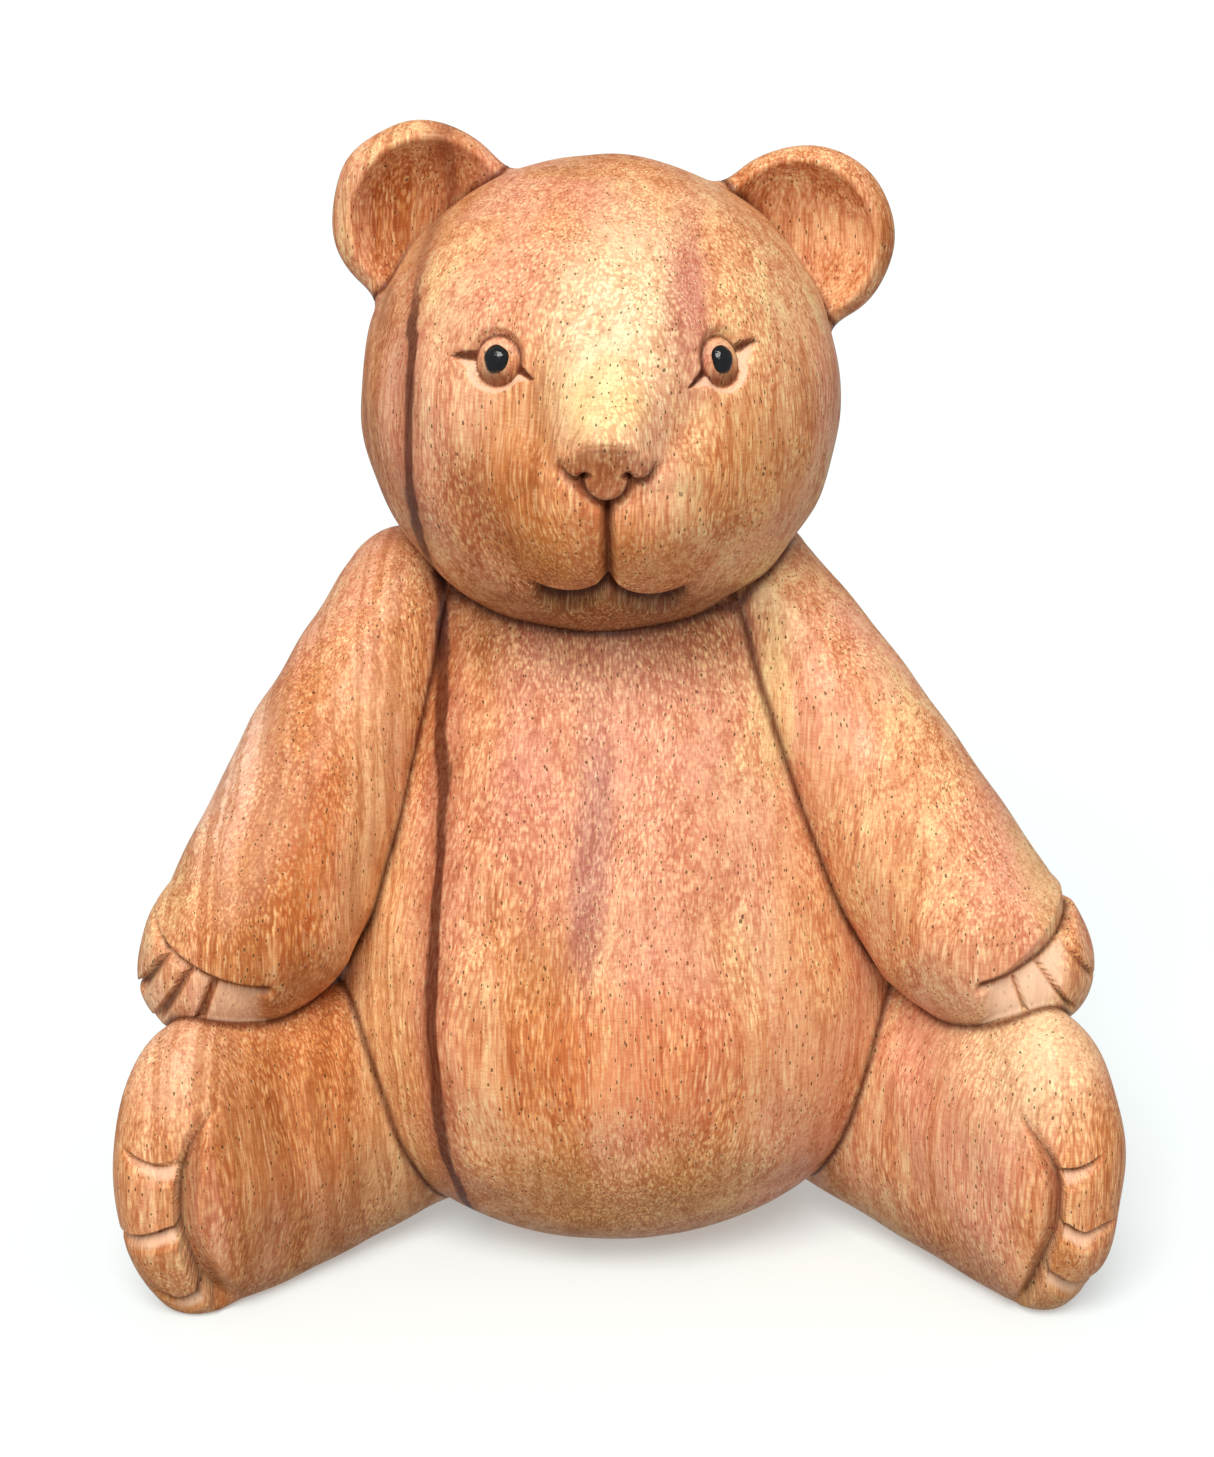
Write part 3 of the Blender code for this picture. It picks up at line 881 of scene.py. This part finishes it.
def carved_wood():
    """Coarse tropical hardwood, cut with a knife, sanded and waxed by hand.

    The wax gives the eye a low satin sheen, the open vessels stay dark, and the creases and cuts carry brown
    dirt and painted shade, with painted light on the facets of the cuts. Some colour zones and the ochre near
    the base are painted shade and painted highlight. The grain runs up the Z axis, and the cells are three to
    six times longer that way, so that the same texture gives specks on the top of the head and dashes on
    upright sides.
    """
    material = bpy.data.materials.get("waxed_hardwood")
    if material:
        return material
    material = bpy.data.materials.new("waxed_hardwood")
    material.use_nodes = True
    tree = material.node_tree
    shader = tree.nodes["Principled BSDF"]
    chosen = bpy.context.scene.bear_colours

    node = functools.partial(add_node, tree)
    smooth = {"interpolation_type": "SMOOTHSTEP"}
    plus, minus, times, times_plus = (
        {"operation": kind} for kind in ("ADD", "SUBTRACT", "MULTIPLY", "MULTIPLY_ADD"))
    mixed, multiplied, dodged = (
        {"take": 2, "data_type": "RGBA", "blend_type": kind} for kind in ("MIX", "MULTIPLY", "DODGE"))

    place = node("VectorMath", {0: node("TexCoord", take="Object"), 1: (1 / MM, 1 / MM, 1 / MM)}, **times)
    height = node("SeparateXYZ", {0: place}, take="Z")
    # The grain drifts aside by a millimetre or two over 50 mm of height.
    slow = node("VectorMath", {0: place, 1: (0.035, 0.035, 0.018)}, **times)
    drift = node("TexNoise", {"Vector": slow, "Scale": 1.0, "Detail": 2.0, "Roughness": 0.55}, take="Color")
    drift = node("VectorMath", {0: drift, 1: (0.5, 0.5, 0.5)}, **minus)
    drift = node("VectorMath", {0: drift, 1: (8.0, 8.0, 0.0)}, **times)
    grain = node("VectorMath", {0: place, 1: drift}, **plus)

    patterns = []
    for cycles, detail in GRAIN_PATTERNS:
        where = node("VectorMath", {0: grain, 1: cycles}, **times)
        inputs = {"Vector": where, "Scale": 1.0, "Detail": detail, "Roughness": 0.55}
        patterns.append(node("TexNoise", inputs))
    layers, streaks, fibres, rosy, crowd, ripple = patterns

    tone = node("Math", {0: layers, 1: 0.62}, **times)
    tone = node("Math", {0: streaks, 1: 0.20, 2: tone}, **times_plus)
    tone = node("Math", {0: fibres, 1: 0.18, 2: tone}, **times_plus)
    colour = node("ValToRGB", {0: tone})
    stops = colour.node.color_ramp.elements
    layer_colours = (
        (0.38, chosen.wood_dark),
        (0.45, hex_to_linear("#D58D58")),
        (0.50, hex_to_linear("#E29F70")),
        (0.55, hex_to_linear("#EDB284")),
        (0.62, chosen.wood_pale),
    )
    for position, layer in layer_colours:
        stop = stops.new(position)
        stop.color = layer
    stops.remove(stops[0])
    stops.remove(stops[-1])

    blush = node("MapRange", {0: rosy, 1: 0.46, 2: 0.64, 4: 0.6}, **smooth)
    colour = node("Mix", {0: blush, 6: colour, 7: hex_to_linear("#E8A08C")}, **mixed)
    soft_edge = node("VectorMath", {0: drift, 1: (0.5, 0.5, 0.0)}, **times)
    soft_edge = node("VectorMath", {0: grain, 1: soft_edge}, **plus)
    for centre, radii, code, strength in ZONES:
        offset = node("VectorMath", {0: soft_edge, 1: centre}, **minus)
        offset = node("VectorMath", {0: offset, 1: radii}, operation="DIVIDE")
        away = node("VectorMath", {0: offset}, take="Value", operation="LENGTH")
        away = node("Math", {0: streaks, 1: 0.5, 2: away}, **times_plus)
        mask = node("MapRange", {0: away, 1: 0.55, 2: 1.45, 3: strength, 4: 0.0}, **smooth)
        colour = node("Mix", {0: mask, 6: colour, 7: hex_to_linear(code)}, **mixed)
    # Streaks and fibres show through every zone, and painted shade turns the wood ochre near the base.
    for pattern, low, high, strength, code, how in (
        (streaks, 0.56, 0.38, 0.30, "#C9804C", multiplied),
        (fibres, 0.50, 0.66, 0.30, "#F9DCA6", mixed),
        (fibres, 0.44, 0.30, 0.32, "#A45A30", mixed),
        (height, 15.0, 1.0, 0.45, "#A87838", mixed),
    ):
        mask = node("MapRange", {0: pattern, 1: low, 2: high, 4: strength}, **smooth)
        colour = node("Mix", {0: mask, 6: colour, 7: hex_to_linear(code)}, **how)

    # The dark vein is a sheet through the head and the torso. It has thin dark layers on its outer side.
    sheet = node("VectorMath", {0: grain, 1: (1.0, -0.15, 0.03)}, take="Value", operation="DOT_PRODUCT")
    sheet = node("Math", {0: sheet, 1: VEIN_PLACE}, **plus)
    sheet = node("Math", {0: streaks, 1: 1.6, 2: sheet}, **times_plus)
    across = node("Math", {0: sheet, 1: 0.75}, **times)
    across = node("CombineXYZ", {0: across, 2: node("Math", {0: height, 1: 0.006}, **times)})
    thin_layers = node("TexNoise", {"Vector": across, "Scale": 1.0, "Detail": 2.0, "Roughness": 0.55})
    thin_layers = node("MapRange", {0: thin_layers, 1: 0.54, 2: 0.42, 4: 0.5}, **smooth)
    outside = node("MapRange", {0: sheet, 1: -2.0, 2: -6.0}, **smooth)
    thin_layers = node("Math", {0: thin_layers, 1: outside}, **times)
    colour = node("Mix", {0: thin_layers, 6: colour, 7: hex_to_linear("#B0642C")}, **mixed)

    # Sheaths: pale spindles 0.3 mm wide and 1.8 mm long. Vessels: dark pits 0.25 mm wide and 0.6 mm long,
    # in a pale rim 0.4 mm wide.
    wander = node("VectorMath", {0: place, 1: (0.3, 0.3, 0.10)}, **times)
    inputs = {"Vector": wander, "Scale": 1.0, "Detail": 1.0, "Roughness": 0.55}
    wander = node("TexNoise", inputs, take="Color")
    wander = node("VectorMath", {0: wander, 1: (1.8, 1.8, 0.0)}, **times)
    tubes = node("VectorMath", {0: grain, 1: wander}, **plus)
    spindles = node("VectorMath", {0: tubes, 1: (2.6, 2.6, 0.42)}, **times)
    spindles = node("TexVoronoi", {"Vector": spindles, "Scale": 1.0}, take="Distance")
    # The sheaths are the same wood with less dye in it: dodging divides by 1 - x and keeps the hue.
    pale = node("Mix", {0: 1.0, 6: colour, 7: (0.28, 0.34, 0.30, 1.0)}, **dodged)
    pale = node("Mix", {0: 0.22, 6: pale, 7: chosen.sheath}, **mixed)
    between = node("MapRange", {0: spindles, 1: 0.40, 2: 0.66}, **smooth)
    crowded = node("MapRange", {0: crowd, 1: 0.35, 2: 0.62, 3: 0.10, 4: 0.4}, **smooth)
    between = node("Math", {0: between, 1: crowded}, **times)
    colour = node("Mix", {0: between, 6: colour, 7: hex_to_linear("#E0AE88")}, **multiplied)
    sheath = node("MapRange", {0: spindles, 1: 0.48, 2: 0.28}, **smooth)
    crowded = node("MapRange", {0: crowd, 1: 0.35, 2: 0.62, 3: 0.25, 4: 0.70}, **smooth)
    sheath = node("Math", {0: sheath, 1: crowded}, **times)
    colour = node("Mix", {0: sheath, 6: colour, 7: pale}, **mixed)
    vessels = node("VectorMath", {0: tubes, 1: (1.35, 1.35, 0.5)}, **times)
    vessels = node("TexVoronoi", {"Vector": vessels, "Scale": 1.0}, take="Distance")
    rim = node("MapRange", {0: vessels, 1: 0.30, 2: 0.20, 4: 0.35}, **smooth)
    colour = node("Mix", {0: rim, 6: colour, 7: pale}, **mixed)
    pore = node("MapRange", {0: vessels, 1: 0.19, 2: 0.12}, **smooth)
    mask = node("Math", {0: pore, 1: 0.8}, **times)
    colour = node("Mix", {0: mask, 6: colour, 7: hex_to_linear("#5A2A14")}, **mixed)

    # The vein lies over the sheaths: a brown shade 5 mm wide and a dark core 2 mm wide, faint on the brow.
    shade = node("MapRange", {0: sheet, 1: -3.6, 2: -0.4, 4: 0.55}, **smooth)
    shade = node("Math", {0: shade, 1: node("MapRange", {0: sheet, 1: 3.2, 2: 0.0}, **smooth)}, **times)
    colour = node("Mix", {0: shade, 6: colour, 7: hex_to_linear("#A25A38")}, **mixed)
    core = node("MapRange", {0: sheet, 1: -1.2, 2: -0.55}, **smooth)
    for pattern, low, high, out_low, out_high in (
        (sheet, 1.0, 0.5, 0.0, 1.0),
        (height, 134.0, 127.0, 0.25, 1.0),
        (fibres, 0.25, 0.6, 0.96, 0.82),
    ):
        share = node("MapRange", {0: pattern, 1: low, 2: high, 3: out_low, 4: out_high}, **smooth)
        core = node("Math", {0: core, 1: share}, **times)
    colour = node("Mix", {0: core, 6: colour, 7: chosen.vein}, **mixed)

    # Ripple marks; dirt and painted shade in the creases and cuts; and pale fresh wood with painted light on
    # the facets of the cuts that face up.
    dirt_and_shade, fresh_and_lit = (node("Attribute", take="Fac", attribute_name=name) for name in ("dirt_and_shade", "fresh_and_lit"))
    for pattern, low, high, strength, over, how in (
        (ripple, 0.52, 0.34, 0.22, hex_to_linear("#C88A60"), multiplied),
        (dirt_and_shade, 0.15, 1.0, 0.85, hex_to_linear("#6B3A1E"), multiplied),
        (fresh_and_lit, 0.1, 0.95, 0.75, chosen.fresh_and_lit, mixed),
    ):
        mask = node("MapRange", {0: pattern, 1: low, 2: high, 4: strength}, **smooth)
        colour = node("Mix", {0: mask, 6: colour, 7: over}, **how)
    tree.links.new(colour, shader.inputs["Base Color"])

    roughness = node("MapRange", {0: streaks, 1: 0.35, 2: 0.65, 3: 0.50, 4: 0.38}, **smooth)
    tree.links.new(roughness, shader.inputs["Roughness"])
    shader.inputs["Specular IOR Level"].default_value = 0.22
    shader.inputs["Coat Weight"].default_value = 0.03
    shader.inputs["Coat Roughness"].default_value = 0.35
    relief = node("Math", {0: node("Math", {0: fibres, 1: 0.35}, **times), 1: pore}, **minus)
    bump = node("Bump", {"Height": relief, "Distance": 0.00012, "Strength": 0.6})
    tree.links.new(bump, shader.inputs["Normal"])
    return material


def eye_enamel():
    """Black gloss enamel, dropped on by hand: hard bright glints, broken by waves of about a millimetre."""
    material = bpy.data.materials.get("black_enamel")
    if material:
        return material
    material = bpy.data.materials.new("black_enamel")
    material.use_nodes = True
    tree = material.node_tree
    shader = tree.nodes["Principled BSDF"]
    shader.inputs["Base Color"].default_value = bpy.context.scene.bear_colours.enamel
    shader.inputs["Roughness"].default_value = 0.15
    where = add_node(tree, "TexCoord", take="Object")
    uneven = add_node(tree, "TexNoise", {"Vector": where, "Scale": 1100.0})
    bump = add_node(tree, "Bump", {"Height": uneven, "Distance": 0.0003, "Strength": 0.8})
    tree.links.new(bump, shader.inputs["Normal"])
    return material


# ---------------------------------------------------------------- settings

class BearForms(bpy.types.PropertyGroup):
    """Sizes of the carved detail"""

    nose_reach: bpy.props.FloatProperty(
        name="Nose reach", description="How far in front of the origin the nose's upper edge stands",
        default=0.0434, min=0.040, max=0.0436, unit="LENGTH", precision=4)
    eye_cut_depth: bpy.props.FloatProperty(
        name="Eye cut depth", description="Depth of the ring cut round each eye",
        default=0.0012, min=0.0003, max=0.0018, unit="LENGTH", precision=4)
    finger_depth: bpy.props.FloatProperty(
        name="Finger depth", description="Depth of the cut over the left fingers; the right one is 0.7 of it",
        default=0.0022, min=0.0005, max=0.003, unit="LENGTH", precision=4)
    toe_groove_depth: bpy.props.FloatProperty(
        name="Toe groove depth", description="Depth of the groove between the toes and the sole",
        default=0.0024, min=0.0005, max=0.003, unit="LENGTH", precision=4)
    eye_rise: bpy.props.FloatProperty(
        name="Eye rise", description="How far the drop of enamel stands out of its knob",
        default=0.0005, min=0.0002, max=0.0009, unit="LENGTH", precision=4)


class BearColours(bpy.types.PropertyGroup):
    """Colours of the wood and the paint"""

    wood_dark: bpy.props.FloatVectorProperty(
        name="Dark wood", description="The darkest growth layers",
        default=hex_to_linear("#BF7640"), size=4, min=0, max=1, subtype="COLOR")
    wood_pale: bpy.props.FloatVectorProperty(
        name="Pale wood", description="The palest growth layers",
        default=hex_to_linear("#F5CD96"), size=4, min=0, max=1, subtype="COLOR")
    sheath: bpy.props.FloatVectorProperty(
        name="Flecks", description="The pale sheaths round the vessels",
        default=hex_to_linear("#F9D090"), size=4, min=0, max=1, subtype="COLOR")
    vein: bpy.props.FloatVectorProperty(
        name="Vein", description="The dark vein through the head and the torso",
        default=hex_to_linear("#56230F"), size=4, min=0, max=1, subtype="COLOR")
    # Also the painted light on the facets of the cuts that face up.
    fresh_and_lit: bpy.props.FloatVectorProperty(
        name="Fresh cuts", description="Facets that the knife left without stain",
        default=hex_to_linear("#F8CFB0"), size=4, min=0, max=1, subtype="COLOR")
    enamel: bpy.props.FloatVectorProperty(
        name="Enamel", description="The paint of the eyes",
        default=hex_to_linear("#0B0E12"), size=4, min=0, max=1, subtype="COLOR")


class BearStage(bpy.types.PropertyGroup):
    """The floor and the light"""

    floor: bpy.props.FloatVectorProperty(
        name="Floor", description="Colour of the floor",
        default=hex_to_linear("#D0D8DA"), size=4, min=0, max=1, subtype="COLOR")
    key_energy: bpy.props.FloatProperty(
        name="Key light", description="Strength of the key light, in watts per square metre",
        default=3.1, min=0, max=20)
    key_angle: bpy.props.FloatProperty(
        name="Key softness", description="Angle that the key light fills; a wider one gives softer shadows",
        default=math.radians(38), min=0, max=math.pi, subtype="ANGLE")


# ---------------------------------------------------------------- operators

class BEAR_OT_head(bpy.types.Operator):
    """Carve the head with its muzzle, nose, mouth and eye cuts"""

    bl_idname = "bear.head"
    bl_label = "Head"

    def execute(self, context):
        origins, directions = head_rays(*HEAD_GRID)
        points = surface_on_rays("head", origins, directions, 50.0, proud=HEAD_PROUD)
        _, dirt_and_shade = face_relief(points[..., 0], points[..., 2])
        dirt_and_shade = dirt_and_shade * ease(HEAD[1] - points[..., 1], 5.0, 14.0)
        _, eye_cut_shade, fresh_and_lit = eye_cuts(points)
        dirt_and_shade = np.maximum.reduce([dirt_and_shade, crease_dirt_and_shade("head", points), eye_cut_shade])
        obj = make_mesh("head_carving", points, (("dirt_and_shade", dirt_and_shade), ("fresh_and_lit", fresh_and_lit)))
        add_piece(obj, "head", carved_wood())
        return {"FINISHED"}


class BEAR_OT_torso(bpy.types.Operator):
    """Carve the torso"""

    bl_idname = "bear.torso"
    bl_label = "Torso"

    def execute(self, context):
        low, high = np.array([TORSO_X, TORSO_Y, 28.0]), np.array([TORSO_X, TORSO_Y, 92.0])
        origins, directions = spine_rays(high, low, np.array([1.0, 0, 0]), 12.0, 38.0, *TORSO_GRID)
        points = surface_on_rays("torso", origins, directions, 60.0)
        dirt_and_shade, fresh_and_lit = crease_dirt_and_shade("torso", points), np.zeros(points.shape[:2])
        obj = make_mesh("torso_carving", points, (("dirt_and_shade", dirt_and_shade), ("fresh_and_lit", fresh_and_lit)))
        add_piece(obj, "torso", carved_wood())
        return {"FINISHED"}


class BEAR_OT_arms(bpy.types.Operator):
    """Carve both arms with their fingers"""

    bl_idname = "bear.arms"
    bl_label = "Arms"

    def execute(self, context):
        for side in SIDES:
            origins, directions = spine_rays(
                ARMS[side]["start"], ARMS[side]["end"], np.array([1.0, 0, 0]), 8.0, 14.0, *ARM_GRID, 0.45)
            name = f"{side}_arm"
            points = surface_on_rays(name, origins, directions, 40.0)
            _, dirt_and_shade, fresh_and_lit = paw_cuts(points, side)
            dirt_and_shade = np.maximum(crease_dirt_and_shade(name, points), dirt_and_shade)
            obj = make_mesh(f"{name}_carving", points, (("dirt_and_shade", dirt_and_shade), ("fresh_and_lit", fresh_and_lit)))
            add_piece(obj, name, carved_wood())
        return {"FINISHED"}


class BEAR_OT_legs(bpy.types.Operator):
    """Carve both legs with their toes"""

    bl_idname = "bear.legs"
    bl_label = "Legs"

    def execute(self, context):
        for side in SIDES:
            origins, directions = spine_rays(
                LEGS[side]["start"], LEGS[side]["end"], np.array([0, 0, 1.0]), 12.0, 16.0, *LEG_GRID, 0.5)
            name = f"{side}_leg"
            points = surface_on_rays(name, origins, directions, 60.0)
            _, dirt_and_shade, fresh_and_lit = foot_cuts(points, side)
            dirt_and_shade = np.maximum(crease_dirt_and_shade(name, points), dirt_and_shade)
            obj = make_mesh(f"{name}_carving", points, (("dirt_and_shade", dirt_and_shade), ("fresh_and_lit", fresh_and_lit)))
            add_piece(obj, name, carved_wood())
        return {"FINISHED"}


class BEAR_OT_ears(bpy.types.Operator):
    """Carve both dished ears"""

    bl_idname = "bear.ears"
    bl_label = "Ears"

    def execute(self, context):
        for side in SIDES:
            name = f"{side}_ear"
            origins, directions = ear_rays(side, *EAR_GRID)
            low, high = np.zeros(EAR_GRID), np.full(EAR_GRID, 9.0)
            along = bisect(lambda p: joined(name, p), low, high, origins, directions, 16)
            points = origins + directions * along[..., None]
            dirt_and_shade, fresh_and_lit = crease_dirt_and_shade(name, points), np.zeros(points.shape[:2])
            obj = make_mesh(f"{name}_carving", points, (("dirt_and_shade", dirt_and_shade), ("fresh_and_lit", fresh_and_lit)))
            add_piece(obj, name, carved_wood())
        return {"FINISHED"}


class BEAR_OT_eyes(bpy.types.Operator):
    """Set a drop of black enamel on each eye"""

    bl_idname = "bear.eyes"
    bl_label = "Eyes"

    def execute(self, context):
        for side in SIDES:
            centre, out, up, normal = eye_place(side)
            turn = np.linspace(0, 2 * math.pi, DROP_GRID[1], endpoint=False)
            v = np.linspace(0, math.pi, DROP_GRID[0])
            uneven = 1 + 0.03 * np.sin(3 * turn + SIDES[side]) + 0.02 * np.sin(5 * turn + 1.0)
            reach = np.sin(v)[:, None] * uneven
            half_width, half_height = EYES[side]["drop"]
            a = half_width * reach * np.cos(turn)
            b = half_height * reach * np.sin(turn)
            stand = context.scene.bear_forms.eye_rise / MM
            rise = np.cos(v)[:, None] * np.where(v < math.pi / 2, stand, 0.6)[:, None]
            middle_of_drop = centre - out * 0.2 + up * 0.1
            base = middle_of_drop + a[..., None] * out + b[..., None] * up
            flat = base.reshape(-1, 3)
            normals = np.broadcast_to(normal, flat.shape)
            low, high = np.full(len(flat), -4.0), np.full(len(flat), 3.0)
            along = bisect(head_field, low, high, flat, normals, 16)
            points = base + (along.reshape(a.shape) + rise)[..., None] * normal
            obj = make_mesh(f"{side}_eye_drop", points)
            add_piece(obj, f"{side}_eye", eye_enamel())
        return {"FINISHED"}


FLOOR_HALF_WIDTH = 8.0
FLOOR_GLOW = 0.33
WORLD_STRENGTH = 0.47
KEY_FROM = Vector((-0.12, -0.72, 0.72))
LENS = 80.3
SENSOR_WIDTH = 36.0
CAMERA_TILT = math.radians(16)
CAMERA_TARGET = Vector((0.0, -0.005, 0.0703))
CAMERA_DISTANCE = 0.430


class BEAR_OT_stage(bpy.types.Operator):
    """Lay the pale floor and set the lights and the camera"""

    bl_idname = "bear.stage"
    bl_label = "Stage"

    def execute(self, context):
        scene = context.scene
        mesh = bpy.data.meshes.new("floor")
        half = FLOOR_HALF_WIDTH
        corners = [(-half, -half, 0), (half, -half, 0), (half, half, 0), (-half, half, 0)]
        mesh.from_pydata(corners, [], [(0, 1, 2, 3)])
        floor = bpy.data.objects.new("floor", mesh)
        scene.collection.objects.link(floor)
        # A light table: it glows, so that shadows stay faint, and throws no light up on the bear's underside.
        floor.visible_diffuse = False
        floor.visible_glossy = False
        material = bpy.data.materials.new("light_table")
        material.use_nodes = True
        shader = material.node_tree.nodes["Principled BSDF"]
        shader.inputs["Base Color"].default_value = scene.bear_stage.floor
        shader.inputs["Roughness"].default_value = 0.9
        shader.inputs["Emission Color"].default_value = hex_to_linear("#F6FDFF")
        shader.inputs["Emission Strength"].default_value = FLOOR_GLOW
        mesh.materials.append(material)

        world = bpy.data.worlds.new("studio")
        world.use_nodes = True
        background = world.node_tree.nodes["Background"]
        background.inputs["Color"].default_value = hex_to_linear("#F4F3F1")
        background.inputs["Strength"].default_value = WORLD_STRENGTH
        scene.world = world
        scene.view_settings.view_transform = "Standard"

        light = bpy.data.lights.new("key", "SUN")
        light.energy = scene.bear_stage.key_energy
        light.color = (1.0, 0.97, 0.92)
        light.angle = scene.bear_stage.key_angle
        key = bpy.data.objects.new("key", light)
        key.rotation_euler = KEY_FROM.to_track_quat("Z", "Y").to_euler()
        scene.collection.objects.link(key)

        camera = bpy.data.cameras.new("camera")
        camera.lens = LENS
        camera.sensor_width = SENSOR_WIDTH
        camera.clip_start = 0.01
        obj = bpy.data.objects.new("camera", camera)
        view = Vector((0, math.cos(CAMERA_TILT), -math.sin(CAMERA_TILT)))
        obj.location = CAMERA_TARGET - CAMERA_DISTANCE * view
        obj.rotation_euler = (math.pi / 2 - CAMERA_TILT, 0, 0)
        scene.collection.objects.link(obj)
        scene.camera = obj
        return {"FINISHED"}


class BEAR_PT_carving(bpy.types.Panel):
    """Lists the bear's pieces, sizes and colours"""

    bl_idname = "BEAR_PT_carving"
    bl_label = "Carved Bear"
    bl_space_type = "VIEW_3D"
    bl_region_type = "UI"
    bl_category = "Carved Bear"

    def draw(self, context):
        for group in (context.scene.bear_forms, context.scene.bear_colours, context.scene.bear_stage):
            box = self.layout.box()
            for name in group.__annotations__:
                box.prop(group, name)
        for operator in OPERATORS:
            self.layout.operator(operator.bl_idname)


OPERATORS = (
    BEAR_OT_stage, BEAR_OT_torso, BEAR_OT_head, BEAR_OT_ears, BEAR_OT_arms, BEAR_OT_legs, BEAR_OT_eyes,
)
CLASSES = (BearForms, BearColours, BearStage, *OPERATORS, BEAR_PT_carving)


def register():
    """Registers the classes and puts the three groups of settings on the scene."""
    for cls in CLASSES:
        bpy.utils.register_class(cls)
    bpy.types.Scene.bear_forms = bpy.props.PointerProperty(type=BearForms)
    bpy.types.Scene.bear_colours = bpy.props.PointerProperty(type=BearColours)
    bpy.types.Scene.bear_stage = bpy.props.PointerProperty(type=BearStage)


def unregister():
    """Takes away what register added, in the opposite order."""
    del bpy.types.Scene.bear_stage
    del bpy.types.Scene.bear_colours
    del bpy.types.Scene.bear_forms
    for cls in reversed(CLASSES):
        bpy.utils.unregister_class(cls)


def main():
    """Builds the stage and every piece."""
    register()
    bpy.ops.bear.stage()
    bpy.ops.bear.torso()
    bpy.ops.bear.head()
    bpy.ops.bear.ears()
    bpy.ops.bear.arms()
    bpy.ops.bear.legs()
    bpy.ops.bear.eyes()


if __name__ == "__main__":
    main()
